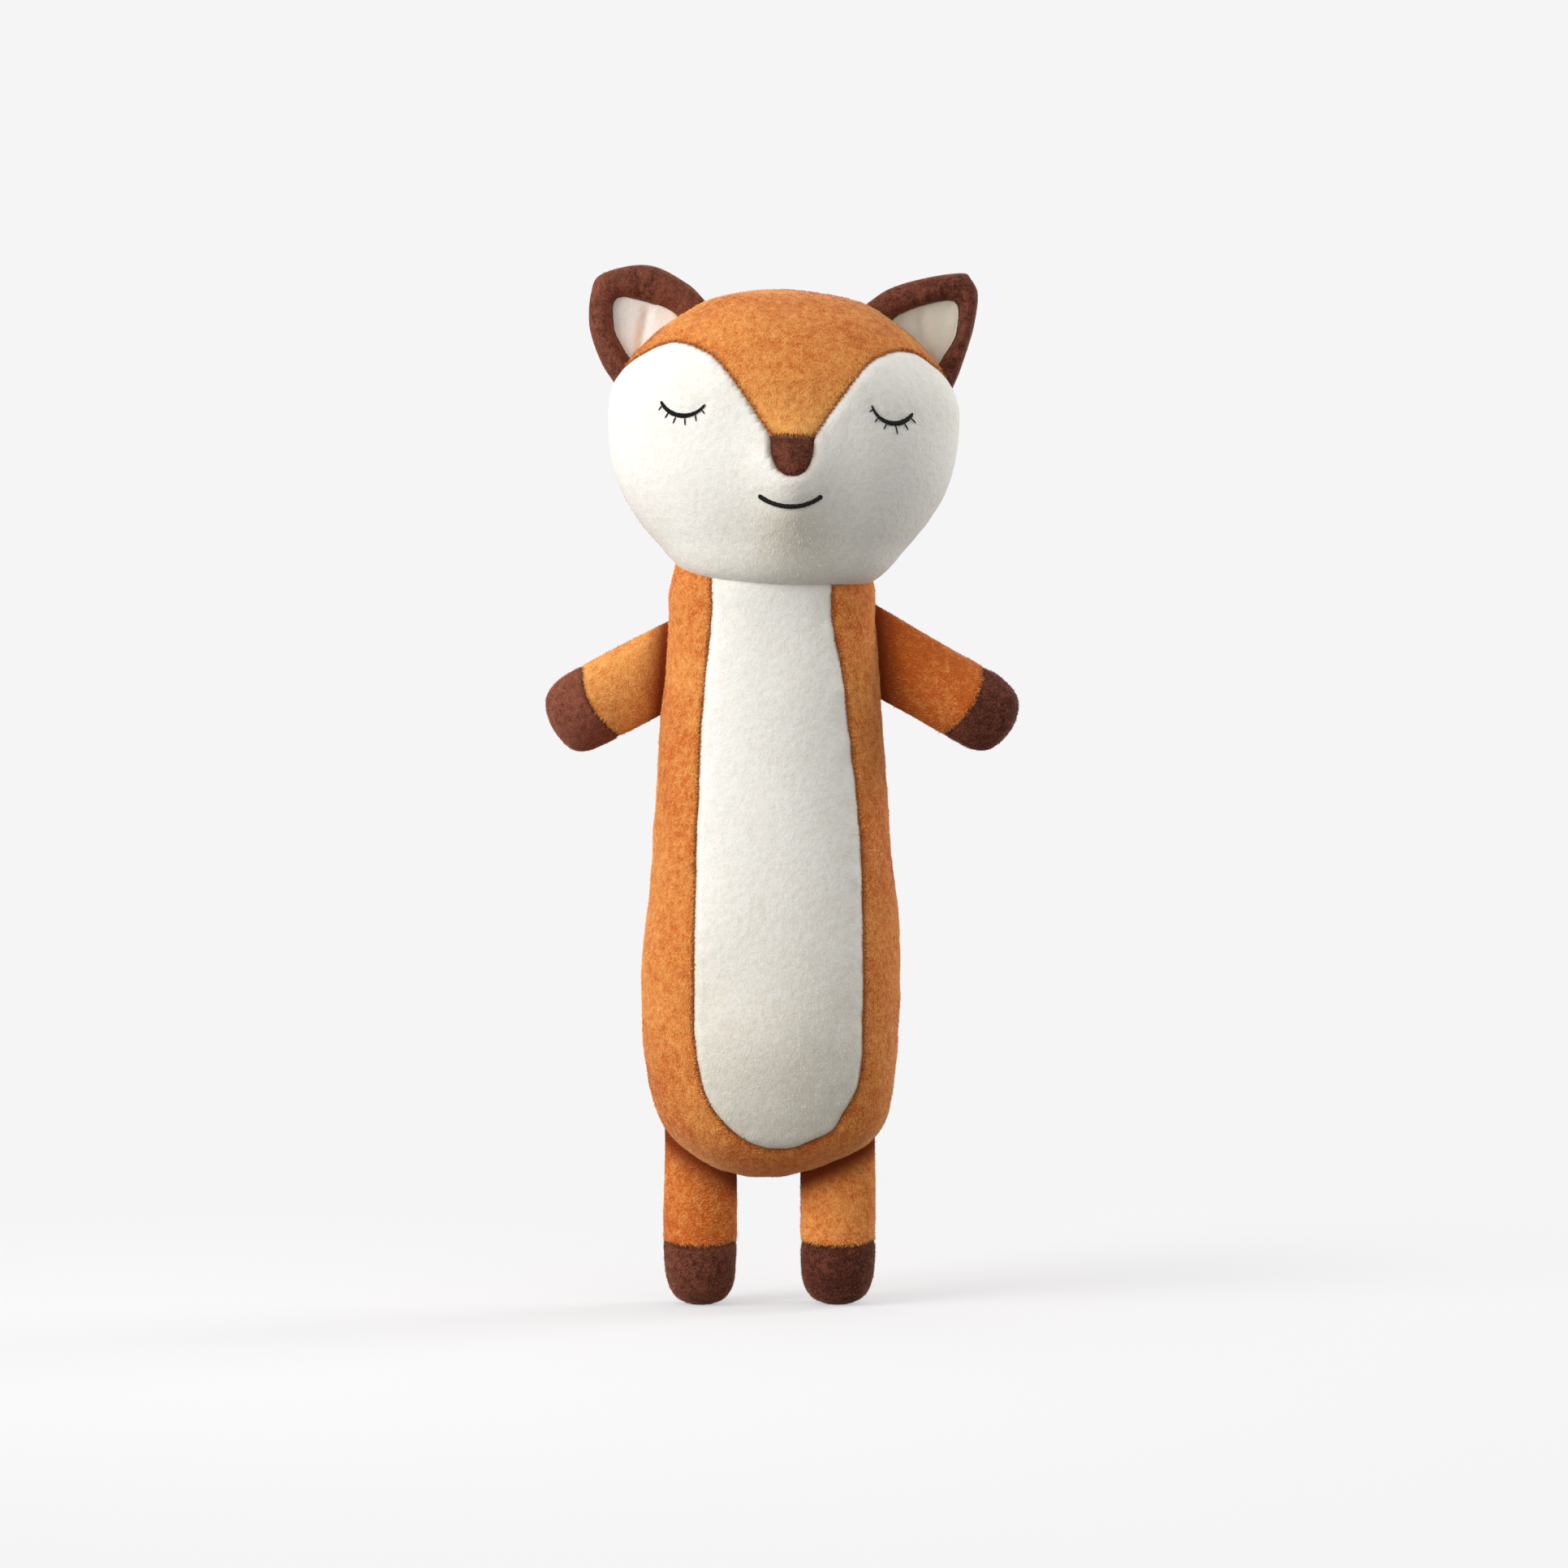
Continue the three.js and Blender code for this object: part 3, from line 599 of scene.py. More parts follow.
def overcast(name, body, skin, place, outline):
    # slanted stitches that bind the cut edge of the orange cloth, all the way round a panel's outline
    steps = lengthsAlong(outline)
    bm = bmesh.new()
    for reach in np.arange(0, steps[-1], tufts["spacing"]):
        x, z = (np.interp(reach, steps, outline[:, k]) for k in (0, 1))
        ahead = [np.interp(reach + tufts["ahead"], steps, outline[:, k]) for k in (0, 1)]
        way = Vector((ahead[0] - x, ahead[1] - z)).normalized()
        out = outsideDistance(outline, np.array([[x + way.y, 0, z - way.x]]))[0] > 0
        away = Vector((way.y, -way.x)) * (1 if out else -1)
        x, z = x + away.x * tufts["outwards"], z + away.y * tufts["outwards"]
        slant = math.radians(tufts["lean"] + unevenness.uniform(-tufts["wander"], tufts["wander"]))
        length = tufts["halfLength"] * unevenness.uniform(tufts["shortest"], tufts["longest"])
        sizes = (tufts["halfWidth"], length, tufts["height"])
        stitchOn(bm, skin, x, z, math.atan2(away.x, -away.y) + slant, sizes, tufts["raise"])
    finishStitches(name, bm, place, rustThread, body)


def backSeam(points):
    return np.where(points[:, 1] > 0, points[:, 0], farAway)


torso = {
    "offset": -3.8, "rise": 44.2, "height": 204, "width": 89.2, "depth": 70, "neckWidth": 70.6, "neckDepth": 56,
    "bellyForward": 3, "bellyWidth": 58, "bellyHeight": 195.3, "bellyRise": 11, "bellyOffset": 2.4,
    "seatShares": [[0, 0], [0.02, 0.45], [0.08, 0.83]],
    "sideShares": [[0.19, 0.84], [0.33, 1], [0.55, 0.68], [0.8, 0.3], [0.94, 0.05]],
    "neckTopShares": [[0, 1], [0.5, 0.87], [0.87, 0.5], [1, 0]],
    "bellyShares": [
        [0.06, 0], [-0.41, 0.017], [-0.816, 0.082], [-0.98, 0.182], [-1, 0.309], [-0.951, 0.667], [-0.883, 0.803],
        [-0.796, 0.95], [-0.7, 1.2], [0.6, 1.2], [0.631, 0.95], [0.767, 0.83], [0.903, 0.652], [0.99, 0.452],
        [1, 0.245], [0.961, 0.126], [0.718, 0.05], [0.534, 0.023],
    ],
    "sides": 184, "rings": 190, "groove": 0.75, "grooveWidth": 1.1, "shadeWidth": 0.7, "lumps": 1.3, "puckers": 0.5,
    "insideHead": 218, "seatPile": 0.6, "fullPileOver": 50, "napAndPaintedLight": -0.02,
    "belly": {"pile": [0.45, 0.4], "napAndPaintedLight": [0.6, -0.65], "roughUnder": 112, "fade": 80},
}


def torsoRows():
    height, wide, deep = torso["height"], torso["width"] / 2, torso["depth"] / 2
    neckWide, neckDeep = torso["neckWidth"] / 2, torso["neckDepth"] / 2
    rows = [[up * height, out * wide, out * deep, 0] for up, out in torso["seatShares"]]
    for up, swell in torso["sideShares"]:
        rows.append([
            up * height,
            neckWide + (wide - neckWide) * swell,
            neckDeep + (deep - neckDeep) * swell,
            -torso["bellyForward"] * swell,
        ])
    return rows + [[height + up * neckDeep, out * neckWide, out * neckDeep, 0] for up, out in torso["neckTopShares"]]


def makeTorso():
    belly = torso["belly"]
    surface = stuffedSurface(torsoRows())
    shares = np.array(torso["bellyShares"])
    sizes = [torso["bellyWidth"] / 2, torso["bellyHeight"]]
    outline = outlineThrough(shares * sizes + [torso["bellyOffset"], torso["bellyRise"]])

    def sideSeam(points):
        return points[:, 1]

    def bellySeam(points):
        return outsideDistance(outline, points)

    def bellyInFront(points):
        return np.where(points[:, 1] < 0, bellySeam(points), farAway)

    def panelOf(centres):
        front = np.where(bellySeam(centres) < 0, 0, 1)
        return np.where(centres[:, 1] < 0, front, np.where(centres[:, 0] < 0, 2, 3))

    bm = formMesh(surface, torso["sides"], torso["rings"])
    held = set()
    for seam in (sideSeam, bellySeam):
        sewAlong(bm, surface, seam, held)
    labelPanels(bm, panelOf)
    dressForm(bm, [bellyInFront], [sideSeam, backSeam], torso, seed=1)
    place = Matrix.Translation((torso["offset"], 0, torso["rise"]))
    skin = BVHTree.FromBMesh(bm)
    panels = [
        ("bellyPanel", "white", ["belly_panel", "torso_stuffing"]),
        ("torsoFrontPanel", "orange", ["torso_front_panel"]),
        ("torsoBackLeftPanel", "orange", ["torso_back_left_panel"]),
        ("torsoBackRightPanel", "orange", ["torso_back_right_panel"]),
    ]

    def grown(co):
        if co.z > torso["insideHead"]:
            return 0, 0
        return min(torso["seatPile"] + co.z / torso["fullPileOver"], 1), torso["napAndPaintedLight"]

    def bellyGrown(co):
        # shorter, smoother and paler above, rougher and darker towards the seat
        (short, more), (smooth, rough) = belly["pile"], belly["napAndPaintedLight"]
        low = min(max((belly["roughUnder"] - co.z) / belly["fade"], 0), 1)
        return grown(co)[0] * (short + more * low), smooth + rough * low

    for number, (name, colour, nodes) in enumerate(panels):
        panelGrown = bellyGrown if colour == "white" else grown
        piece = finishPanel(name, cutPanel(bm, number), cloths[colour], nodes, place, panelGrown)
        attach(piece, "torso")
    bm.free()
    overcast("bellySeamStitches", "torso", skin, place, outline)


makeTorso()

head = {
    "origin": (-1.3, 0, 248.2), "turn": 4, "tilt": 1.5, "height": 103, "width": 121.6, "depth": 88,
    "shares": [
        [0, 0, 0, -0.3], [0.012, 0.47, 0.42, -0.27], [0.15, 0.725, 0.71, -0.13], [0.33, 0.922, 0.92, -0.04],
        [0.51, 1, 1, 0], [0.67, 0.97, 0.97, 0], [0.81, 0.79, 0.82, 0], [0.9, 0.61, 0.64, 0],
        [0.965, 0.4, 0.42, 0], [1, 0, 0, 0],
    ],
    "browShares": [[1.2, 0.6], [0.995, 0.68], [0.855, 0.745], [0.658, 0.79], [0.452, 0.74], [0.288, 0.62]],
    "noseWidth": 15, "noseHeight": 13.8, "noseRise": 48.7,
    "noseShares": [[-0.5, 0], [-0.485, -0.42], [-0.345, -0.82], [-0.125, -1]],
    "muzzle": {"rise": 30, "width": 12.5, "height": 23, "forward": 6.5},
    "seamSwings": [[55, 30, 5.5], [10, 12, -4.5]],  # height, spread and how far the side seam swings back there
    "sides": 232, "rings": 132, "groove": 0.7, "grooveWidth": 1.1, "shadeWidth": 0.6, "lumps": 0.8, "puckers": 0.4,
    "chin": {"width": 22, "rise": 12, "height": 18, "pile": [0.42, 0.6], "napAndPaintedLight": [0.65, -0.8]},
    "blaze": {"rise": 48, "height": 16, "napAndPaintedLight": [0.08, 0.36]}, "noseNapAndPaintedLight": -0.05, "threadHalfWidth": 0.9,
}
# each lash: its share of the way along the lid, its length and how far it leans from square, in degrees
threads = {
    "step": 0.34, "height": 0.55, "lift": 0.12, "perStep": 1.12, "overlap": 0.65, "rounding": 0.8, "uneven": 0.08,
    "sway": 0.12, "lashWidth": 0.5, "lashHeight": 0.7, "underLid": 0.5,
    "mouth": {
        "width": 21.3, "sag": 3.8, "across": -0.4, "rise": 24.9, "turn": -1.4, "lashes": [],
        "thickness": [1.9, 1.75, 1.85, 1.75, 1.9],
    },
    "leftEye": {
        "width": 14.6, "sag": 4.4, "across": -36.2, "rise": 55.0, "turn": 5, "thickness": [1.2, 1.7, 1.75, 1.55, 0.9],
        "lashes": [
            [0.1, 2.2, -14], [0.26, 2.5, 0], [0.4, 3.0, 6], [0.56, 3.1, -4], [0.73, 2.7, 10], [0.88, 2.1, 4],
        ],
    },
    "rightEye": {
        "width": 14.6, "sag": 4.8, "across": 34.4, "rise": 54.6, "turn": 6, "thickness": [0.9, 1.4, 1.85, 1.95, 1.3],
        "lashes": [
            [0.08, 1.7, -10], [0.25, 2.3, -4], [0.42, 2.6, 12], [0.6, 3.5, -6], [0.76, 2.9, -8], [0.91, 2.8, -6],
        ],
    },
}
headPlace = (
    Matrix.Translation(head["origin"])
    @ Matrix.Rotation(math.radians(head["tilt"]), 4, "Y")
    @ Matrix.Rotation(math.radians(head["turn"]), 4, "Z")
)
headRows = [
    [up * head["height"], out * head["width"] / 2, deep * head["depth"] / 2, forward * head["depth"] / 2]
    for up, out, deep, forward in head["shares"]
]


def arcPoint(arc, share, drop=0):
    # a point on the foot of a circle, dropped outwards, and its angle
    radius = (arc["width"] ** 2 / 4 + arc["sag"] ** 2) / (2 * arc["sag"])
    angle = math.asin(arc["width"] / (2 * radius)) * (2 * share - 1) - math.radians(arc["turn"])
    reach = radius + drop
    return arc["across"] + reach * math.sin(angle), arc["rise"] + radius - reach * math.cos(angle), angle


def faceOutline():
    brow = [[across * head["width"] / 2, up * head["height"]] for across, up in head["browShares"]]
    right = outlineThrough(brow + [[head["noseWidth"] / 2, head["noseRise"]]], "straight", 60)
    low = [[-head["width"], -head["height"]], [head["width"], -head["height"]]]
    return np.vstack([right, right[::-1] * [-1, 1], low])


def noseOutline():
    half = [
        [across * head["noseWidth"], head["noseRise"] + up * head["noseHeight"]] for across, up in head["noseShares"]
    ]
    left = outlineThrough(half, "straight", 16)
    return np.vstack([left, left[::-1] * [-1, 1]])


def makeHead():
    form = stuffedSurface(headRows)
    face, nose = faceOutline(), noseOutline()
    muzzle, chin, blaze = head["muzzle"], head["chin"], head["blaze"]
    lines = [threads[key] for key in ("mouth", "leftEye", "rightEye")]
    stitched = np.array([arcPoint(line, share)[:2] for line in lines for share in np.linspace(0, 1, 30)])

    def surface(u, v):
        points = form(u, v)
        spread = (points[:, 0] / muzzle["width"]) ** 2 + ((points[:, 2] - muzzle["rise"]) / muzzle["height"]) ** 2
        points[:, 1] -= np.where(points[:, 1] < 0, muzzle["forward"] * np.exp(-spread), 0)
        return points

    def sideSeam(points):
        heights = points[:, 2]
        swings = [back * np.exp(-(((heights - rise) / spread) ** 2)) for rise, spread, back in head["seamSwings"]]
        return points[:, 1] - sum(swings)

    def faceSeam(points):
        return outsideDistance(face, points)

    def noseSeam(points):
        return np.where(points[:, 1] < 0, outsideDistance(nose, points), farAway)

    def faceInFront(points):
        return np.where(sideSeam(points) < 0, faceSeam(points), farAway)

    def panelOf(centres):
        front = np.where(noseSeam(centres) < 0, 0, np.where(faceSeam(centres) < 0, 1, 2))
        return np.where(sideSeam(centres) < 0, front, np.where(centres[:, 0] < 0, 3, 4))

    def toThread(points):
        gaps = np.linalg.norm(points[:, None, [0, 2]] - stitched, axis=-1).min(1) - head["threadHalfWidth"]
        return np.where(points[:, 1] < 0, gaps, farAway)

    bm = formMesh(surface, head["sides"], head["rings"])
    held = set()
    for seam in (sideSeam, faceSeam, noseSeam):
        sewAlong(bm, surface, seam, held)
    labelPanels(bm, panelOf)
    dressForm(bm, [faceInFront, noseSeam], [sideSeam, backSeam], head, seed=7, toThread=toThread)
    skin = BVHTree.FromBMesh(bm)
    panels = [
        ("nosePatch", "brown", ["nose_patch"]),
        ("facePanel", "white", ["face_panel", "head_stuffing"]),
        ("crownPanel", "orange", ["crown_panel"]),
        ("headBackLeftPanel", "orange", ["head_back_left_panel"]),
        ("headBackRightPanel", "orange", ["head_back_right_panel"]),
    ]

    def faceGrown(co):
        # longer pile and a darker, rougher colour down at the chin, paler elsewhere
        (short, more), (smooth, rough) = chin["pile"], chin["napAndPaintedLight"]
        share = math.exp(-((co.x / chin["width"]) ** 2) - ((co.z - chin["rise"]) / chin["height"]) ** 2)
        return short + more * share, smooth + rough * share

    def crownGrown(co):
        # palest down the blaze
        around, there = blaze["napAndPaintedLight"]
        return 1, around + there * math.exp(-(((co.z - blaze["rise"]) / blaze["height"]) ** 2))

    def noseGrown(co):
        return 1, head["noseNapAndPaintedLight"]

    grown = {"nosePatch": noseGrown, "facePanel": faceGrown, "crownPanel": crownGrown}
    for number, (name, colour, nodes) in enumerate(panels):
        panelGrown = grown.get(name, lambda co: (1, 0))
        piece = finishPanel(name, cutPanel(bm, number), cloths[colour], nodes, headPlace, panelGrown)
        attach(piece, "head")
    bm.free()
    overcast("browSeamStitches", "head", skin, headPlace, face)
    return skin


headSkin = makeHead()


def embroider(name, node, arc):
    # satin stitches side by side across the line, then a single stitch for each lash
    bm = bmesh.new()

    def thicknessAt(share):
        return np.interp(share, np.linspace(0, 1, len(arc["thickness"])), arc["thickness"])

    count = round(threads["perStep"] * arc["width"] / threads["step"])
    for i in range(count):
        share = (i + 0.5) / count
        toEnd = min(share, 1 - share) * arc["width"]
        rounded = math.sqrt(1 - max(1 - toEnd / threads["rounding"], 0) ** 2)
        reach = thicknessAt(share) / 2 * rounded * unevenness.uniform(1 - threads["uneven"], 1 + threads["uneven"])
        sizes = (threads["step"] * threads["overlap"], reach, threads["height"] * (0.5 + 0.5 * rounded))
        x, z, angle = arcPoint(arc, share)
        angle += unevenness.uniform(-threads["sway"], threads["sway"])
        stitchOn(bm, headSkin, x, z, angle, sizes, threads["lift"])
    for share, length, lean in arc["lashes"]:
        x, z, angle = arcPoint(arc, share, thicknessAt(share) / 2 + length / 2 - threads["underLid"])
        sizes = (threads["lashWidth"] / 2, length / 2, threads["height"] * threads["lashHeight"])
        stitchOn(bm, headSkin, x, z, angle - math.radians(lean), sizes, threads["lift"])
    piece = finishStitches(name, bm, headPlace, blackThread, "head")
    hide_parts(node)


embroider("mouthStitching", "mouth_stitching", threads["mouth"])
embroider("leftEyeStitching", "left_eye_stitching", threads["leftEye"])
embroider("rightEyeStitching", "right_eye_stitching", threads["rightEye"])


def rootPlace(body, back):
    # where a piece is sewn on: X along its root, Y to the back and Z away from the body
    right = Vector(joints[body]["axis"]).normalized()
    turn = Matrix((right, back, right.cross(back))).transposed().to_4x4()
    return Matrix.Translation(Vector(joints[body]["pos_m"]) * 1000) @ turn


def hangOn(piece, parent, body, place, bend):
    # the cloth bends over a short stretch outwards from the hinge line
    start = place.translation / 1000
    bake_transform(piece, parent, body, start=start, end=start + place.to_3x3() @ Vector((0, 0, bend / 1000)))


limbs = {
    "bodyShares": [[-0.12, 0.04], [0, 0.12], [0.25, 0.6], [0.65, 1]],
    "tipShares": [[0.84, 0.93], [0.955, 0.64], [1, 0]],
    "sides": 72, "rings": 64, "groove": 0.5, "grooveWidth": 1.1, "shadeWidth": 0.6, "rootShadeWidth": 5, "lumps": 0.7,
    "puckers": 0.4, "bend": 9,
    "arm": {"thickness": 20, "rootThickness": 4.4, "tip": 19, "bow": 3.3},
    "leg": {"thickness": 23, "rootThickness": 5, "tip": 22.2, "bow": 0.8},
    # each limb's last pair lightens or darkens its sleeve and its paw or foot, partly for the nap's lie and partly as
    # painted light and shade where light falls on it
    "leftArm": {"width": 27.4, "length": 44.3, "droop": 27.4, "side": -1, "napAndPaintedLight": [0.24, 0.3]},
    "rightArm": {"width": 27.6, "length": 53.6, "droop": 30, "side": 1, "napAndPaintedLight": [-0.28, -0.16]},
    "leftLeg": {"width": 25, "napAndPaintedLight": [-0.12, 0.08]},
    "rightLeg": {"width": 25.6, "napAndPaintedLight": [0.04, -0.2]},
    "soleFlat": 0.5,
}


def makeLimb(body, sizes, own, length, direction, tipName):
    place = rootPlace(body, Vector((0, 1, 0)))
    seen = place.to_3x3().inverted() @ direction
    lean = math.atan2(seen.x, seen.z)
    wide, thick, thin = own["width"] / 2, sizes["thickness"] / 2, sizes["rootThickness"] / 2
    rows = [[up * length, wide, thin + (thick - thin) * swell, 0] for up, swell in limbs["bodyShares"]]
    rows += [[up * length, out * wide, out * thick, 0] for up, out in limbs["tipShares"]]
    curve, spans = smoothCurve(rows, "tip")
    step = evenSteps(curve, spans, [0, 1])

    def surface(u, v):
        along, halfWidth, halfDepth, _ = curve(step(v)).T
        angle = 2 * np.pi * u + np.pi / 2
        turn = lean * np.clip(along / length, 0, 1)
        out = halfWidth * np.cos(angle) / np.cos(lean - turn)
        x = along * math.sin(lean) + out * np.cos(turn)
        z = along * math.cos(lean) - out * np.sin(turn)
        return np.stack([x, halfDepth * np.sin(angle), z], axis=1)

    def tipSeam(points):
        along = points[:, 0] * math.sin(lean) + points[:, 2] * math.cos(lean)
        out = (points[:, 0] * math.cos(lean) - points[:, 2] * math.sin(lean)) / own["width"]
        return along - (length - sizes["tip"] + sizes["bow"] * (1 - 4 * out**2))

    bm = formMesh(surface, limbs["sides"], limbs["rings"])
    sewAlong(bm, surface, tipSeam, set())
    labelPanels(bm, lambda centres: np.where(tipSeam(centres) > 0, 1, 0))
    dressForm(bm, [tipSeam], [], limbs, seed=length, fromRoot=lambda points: points[:, 2])
    side, kind = body.split("_")
    parts = [("sleeve", "orange", [f"{body}_sleeve", f"{body}_stuffing"]), (tipName, "brown", [f"{body}_{tipName}"])]
    for number, (part, colour, nodes) in enumerate(parts):
        name = side + kind.title() + part.title()
        grown = (1, own["napAndPaintedLight"][number])
        piece = finishPanel(name, cutPanel(bm, number), cloths[colour], nodes, place, lambda co: grown)
        hangOn(piece, "torso", body, place, limbs["bend"])
    bm.free()


for body, own in (("left_arm", limbs["leftArm"]), ("right_arm", limbs["rightArm"])):
    droop = math.radians(own["droop"])
    direction = Vector((own["side"] * math.cos(droop), 0, -math.sin(droop)))
    makeLimb(body, limbs["arm"], own, own["length"], direction, "paw")
for body, own in (("left_leg", limbs["leftLeg"]), ("right_leg", limbs["rightLeg"])):
    hipHeight = joints[body]["pos_m"][2] * 1000
    makeLimb(body, limbs["leg"], own, hipHeight + limbs["soleFlat"], Vector((0, 0, -1)), "foot")

ears = {
    "sides": 132, "rings": 96, "letIn": 8, "rimShare": 0.74, "liningRings": 0.3, "rollRings": 0.3,
    "roll": 4.4, "lip": 1.8, "cup": 0.6, "puff": 4.4, "crease": {"depth": 1.1, "width": 3.4, "slant": 1.3},
    "groove": 0.1, "grooveWidth": 0.8, "shadeWidth": 0.5, "lumps": 0.8, "puckers": 0.3, "bend": 7,
    "pileShares": {"brown": 0.55, "white": 0.35},
    "liningShares": [[0.22, 0], [0.25, 0.21], [0.31, 0.48], [0.48, 0.7], [0.66, 0.42], [0.75, 0.17], [0.75, 0]],
    "left": {
        "side": -1, "height": 31, "footShares": [0.665, 0.952], "tuck": {"at": 0.49, "width": 0.014, "depth": 1},
        # its lining painted paler, as painted light over the shade of its hollow
        "napAndPaintedLight": {"brown": 0.08, "white": 0.75},
        "shares": [[0, 0], [0.04, 0.29], [0.16, 0.66], [0.35, 0.92], [0.53, 1], [0.84, 0.73], [0.98, 0.29], [1, 0]],
    },
    "right": {
        "side": 1, "height": 33, "footShares": [0.68, 0.958], "tuck": {"at": 0.56, "width": 0.015, "depth": 0.6},
        # its lining painted darker, as painted shade
        "napAndPaintedLight": {"brown": 0.08, "white": -0.4},
        "shares": [
            [0, 0], [0.073, 0.258], [0.218, 0.637], [0.385, 0.926], [0.52, 1], [0.6, 0.985], [0.77, 0.72],
            [0.94, 0.33], [1, 0],
        ],
    },
}


def headOutlinePoint(side, share):
    curve, spans = smoothCurve(headRows)
    fine = curve(np.linspace(0, spans, 4000))
    height, halfWidth = fine[np.argmax(fine[:, 0] >= share * head["height"])][:2]
    return Vector((side * halfWidth, 0, height))


def makeEar(name, own):
    body = f"{name}_ear"
    place = rootPlace(body, headPlace.to_3x3() @ Vector((0, 1, 0)))
    toEar = place.inverted() @ headPlace
    outer, inner = (toEar @ headOutlinePoint(own["side"], share) for share in own["footShares"])
    length = (outer - inner).length

    def leafLine(shares):
        # round the leaf from its outer corner to its inner one, then back along its foot inside the head
        rim = outlineThrough(
            [[outer.x - own["side"] * along * length, outer.z + up * own["height"]] for along, up in shares],
            "straight",
            160,
        )
        line = np.vstack([rim, rim[-1] - [0, ears["letIn"]], rim[0] - [0, ears["letIn"]], rim[0]])
        steps = lengthsAlong(line)
        marks = [0, steps[len(rim) - 1], steps[-1]]

        def at(u):
            reach = np.interp(u, [0, ears["rimShare"], 1], marks)
            return np.stack([np.interp(reach, steps, line[:, k]) for k in (0, 1)], axis=1)

        return at

    rimLine, liningLine = leafLine(own["shares"]), leafLine(ears["liningShares"])
    liningOutline = liningLine(np.linspace(0, 1, 200, endpoint=False))
    centre = liningOutline.mean(0)
    crease, tuck = ears["crease"], own["tuck"]
    edges = [ears["liningRings"], ears["liningRings"] + ears["rollRings"]]

    def surface(u, v):
        # from the lining's middle over the roll and the rim to the middle of the back
        rim, lining = rimLine(u), liningLine(u)
        share = np.clip(v / edges[0], 0, 1)[:, None]
        turn = np.pi * np.clip((v - edges[0]) / ears["rollRings"], 0, 1)
        back = np.pi / 2 * np.clip((v - edges[1]) / (1 - edges[1]), 0, 1)
        flat = centre + (lining - centre) * share
        flat = np.where(v[:, None] > edges[0], lining + (rim - lining) * (0.5 - 0.5 * np.cos(turn))[:, None], flat)
        flat = np.where(v[:, None] > edges[1], centre + (rim - centre) * np.cos(back)[:, None], flat)
        fold = (flat[:, 0] - centre[0]) * own["side"] + (flat[:, 1] - centre[1]) * crease["slant"]
        cup = ears["cup"] * (1 - share[:, 0] ** 2)
        cup += crease["depth"] * np.exp(-((fold / crease["width"]) ** 2)) * (1 - share[:, 0] ** 4)
        depth = cup - ears["lip"]
        pulled = tuck["depth"] * np.exp(-(((u - tuck["at"]) / tuck["width"]) ** 2))
        roll = (ears["roll"] - pulled) * np.sin(turn)
        depth = np.where(v > edges[0], -ears["lip"] * (1 - turn / np.pi) - roll, depth)
        depth = np.where(v > edges[1], ears["puff"] * np.sin(back) ** 0.8, depth)
        return np.stack([flat[:, 0], depth, flat[:, 1]], axis=1)

    def liningSeam(points):
        return np.where(points[:, 1] < 0.5, outsideDistance(liningOutline, points), farAway)

    bm = formMesh(surface, ears["sides"], ears["rings"])
    along = bm.verts.layers.float["along"]
    label = bm.faces.layers.int.new("panel")
    lastRing = edges[0] + 0.3 / ears["rings"]
    for ring in bm.faces:
        ring[label] = int(max(vert[along] for vert in ring.verts) < lastRing)
    bm.normal_update()
    dressForm(bm, [], [liningSeam], ears, seed=own["height"])
    for number, (part, colour) in enumerate([("back", "brown"), ("lining", "white")]):
        panel = cutPanel(bm, number, fold=0.5)
        grown = (ears["pileShares"][colour], own["napAndPaintedLight"][colour])
        fullName = name + "Ear" + part.title()
        piece = finishPanel(fullName, panel, cloths[colour], [f"{body}_{part}"], place, lambda co: grown)
        hangOn(piece, "head", body, place, ears["bend"])
    bm.free()


makeEar("left", ears["left"])
makeEar("right", ears["right"])
bpy.data.objects.remove(strand)

stage = {
    "background": (246, 245, 246), "floorRadius": 0.9, "paper": (176, 176, 176), "bounce": (150, 150, 150),
    "glow": 0.5, "fadeFrom": 0.12, "fadeTo": 0.5, "world": 0.64,
    "key": {"around": -60, "up": 20, "away": 1.6, "size": 1.1, "power": 22.5},
    "rim": {"around": 113, "up": 20, "away": 1.6, "size": 0.7, "power": 11},
}


def seenDirectly(tree):
    # 1 for the camera and for what mirrors or glass would show
    path = addNode(tree, "ShaderNodeLightPath").outputs
    mirrored = addNode(
        tree, "ShaderNodeMath", {0: path["Is Glossy Ray"], 1: path["Is Transmission Ray"]}, operation="MAXIMUM"
    )
    direct = {0: path["Is Camera Ray"], 1: mirrored.outputs[0]}
    return addNode(tree, "ShaderNodeMath", direct, operation="MAXIMUM").outputs[0]


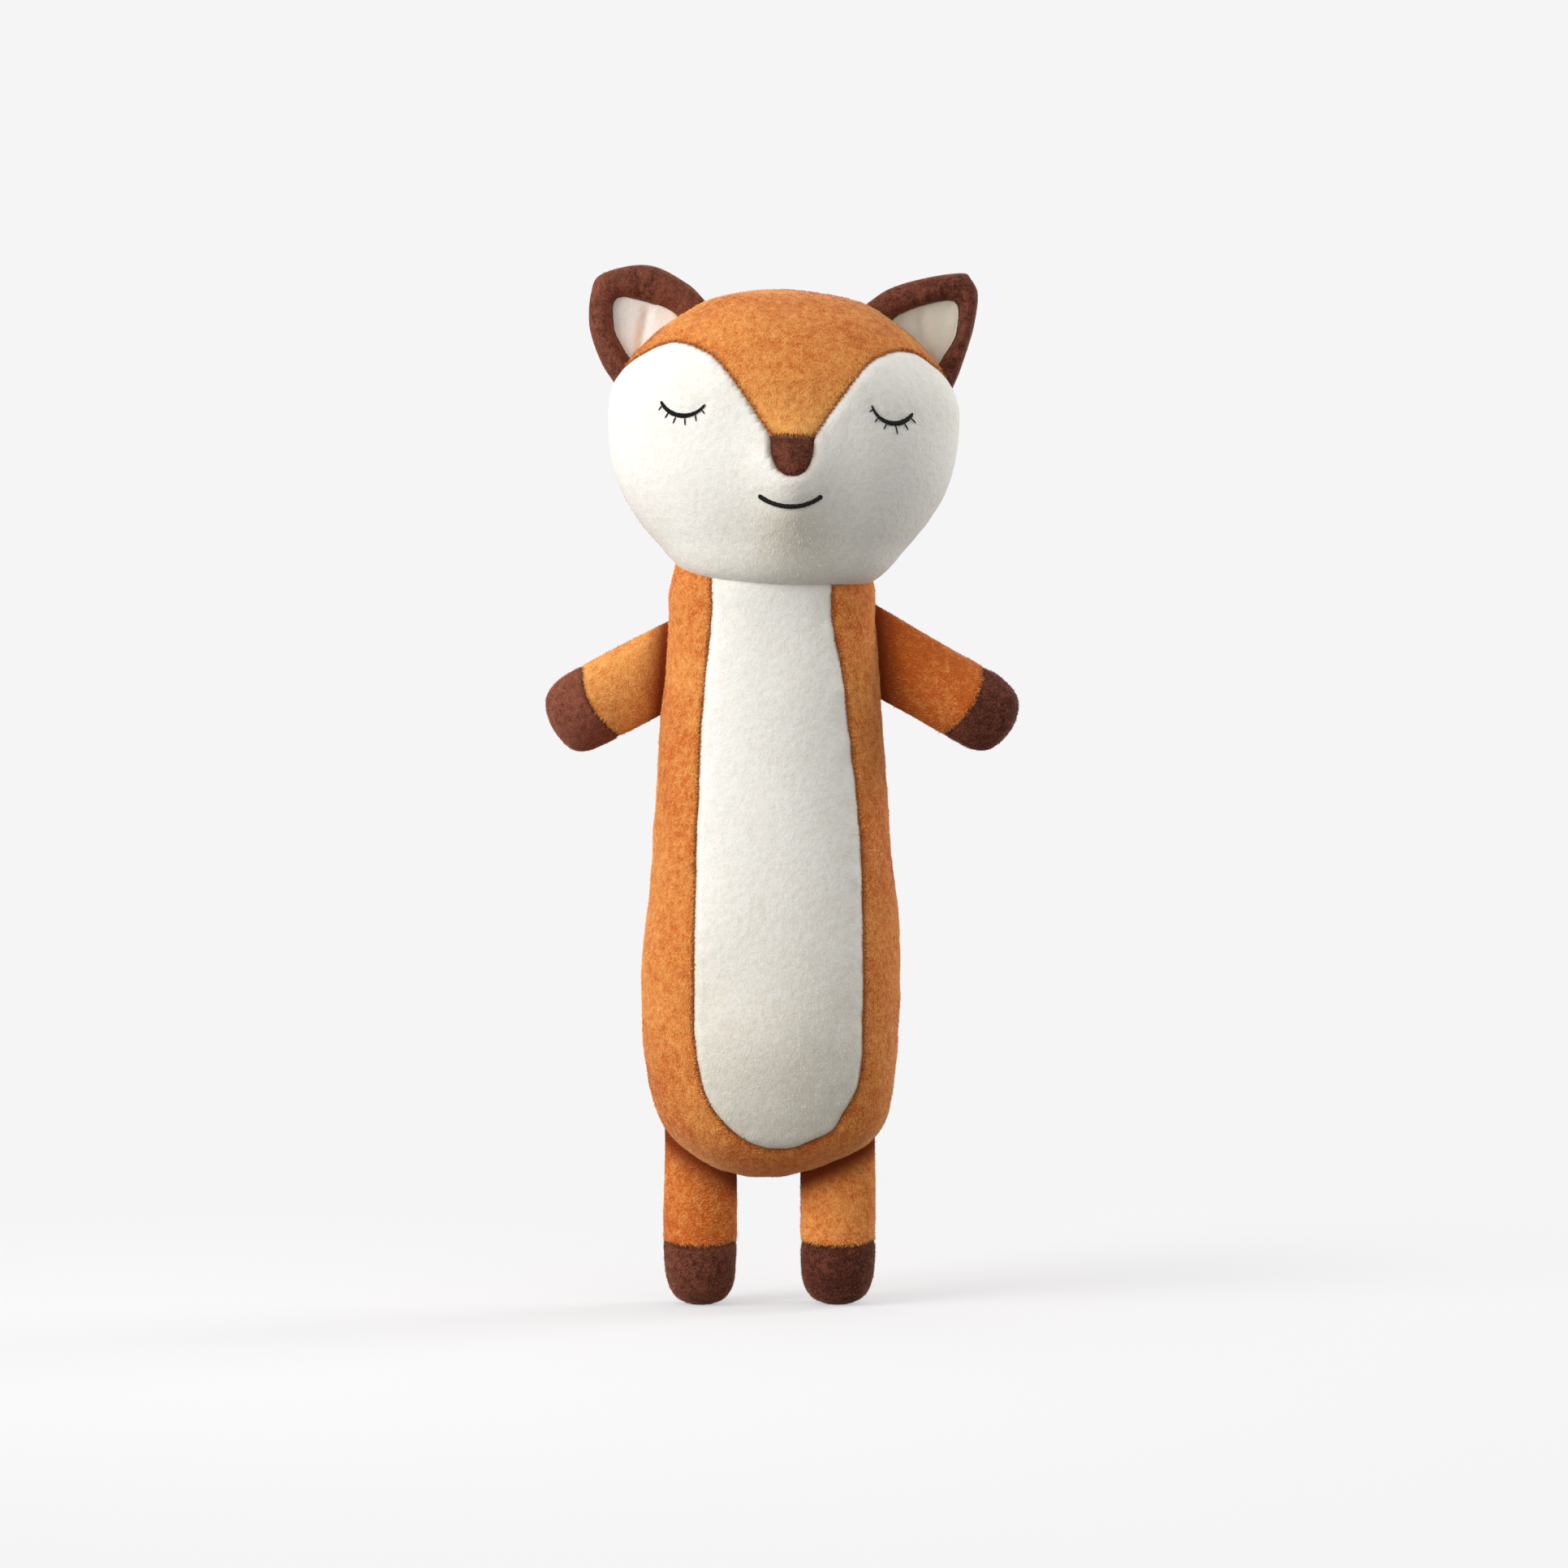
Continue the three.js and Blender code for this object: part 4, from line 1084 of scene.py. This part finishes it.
def floorMaterial():
    material, tree, place = newMaterial("paleFloor")
    tree.nodes.remove(tree.nodes["Principled BSDF"])
    seen = seenDirectly(tree)
    tint = addNode(
        tree, "ShaderNodeMix", {0: seen, 6: linear(*stage["bounce"]), 7: linear(*stage["paper"])}, data_type="RGBA"
    )
    paper = addNode(tree, "ShaderNodeBsdfDiffuse", {"Color": tint.outputs[2]}).outputs[0]
    backdrop = linear(*stage["background"])
    dim = addNode(tree, "ShaderNodeMath", {0: seen, 1: stage["glow"]}, operation="MULTIPLY").outputs[0]
    glow = addNode(tree, "ShaderNodeEmission", {"Color": backdrop, "Strength": dim}).outputs[0]
    near = addNode(tree, "ShaderNodeAddShader", {0: paper, 1: glow}).outputs[0]
    far = addNode(tree, "ShaderNodeEmission", {"Color": backdrop, "Strength": seen}).outputs[0]
    reach = addNode(tree, "ShaderNodeVectorMath", {0: place}, operation="LENGTH").outputs["Value"]
    fade = addNode(
        tree,
        "ShaderNodeMapRange",
        {"Value": reach, "From Min": stage["fadeFrom"], "From Max": stage["fadeTo"]},
        interpolation_type="SMOOTHSTEP",
    ).outputs[0]
    mixed = addNode(tree, "ShaderNodeMixShader", {0: fade, 1: near, 2: far}).outputs[0]
    tree.links.new(mixed, tree.nodes["Material Output"].inputs["Surface"])
    return material


def makeStage():
    bm = bmesh.new()
    bmesh.ops.create_circle(bm, cap_ends=True, segments=96, radius=stage["floorRadius"])
    mesh = meshOf("floor", bm)
    mesh.materials.append(floorMaterial())
    floor = addObject("floor", mesh)
    world = bpy.data.worlds.new("paleRoom")
    scene.world = world
    world.use_nodes = True
    tree = world.node_tree
    soft = addNode(tree, "ShaderNodeBackground", {"Color": (1, 1, 1, 1), "Strength": stage["world"]}).outputs[0]
    pale = addNode(tree, "ShaderNodeBackground", {"Color": linear(*stage["background"]), "Strength": 1}).outputs[0]
    mixed = addNode(tree, "ShaderNodeMixShader", {0: seenDirectly(tree), 1: soft, 2: pale}).outputs[0]
    tree.links.new(mixed, tree.nodes["World Output"].inputs["Surface"])
    for name in ("key", "rim"):
        lamp = stage[name]
        data = bpy.data.lights.new(f"{name}Light", "AREA")
        data.shape = "DISK"
        data.size = lamp["size"]
        data.energy = lamp["power"]
        light = addObject(f"{name}Light", data)
        around, up = math.radians(lamp["around"]), math.radians(lamp["up"])
        way = Vector((math.sin(around) * math.cos(up), -math.cos(around) * math.cos(up), math.sin(up)))
        light.location = Vector((0, 0, view["lookHeight"])) + way * lamp["away"]
        light.rotation_euler = way.to_track_quat("Z", "Y").to_euler()


makeStage()
print("floor and lights ready")
scene.view_settings.view_transform = "Standard"
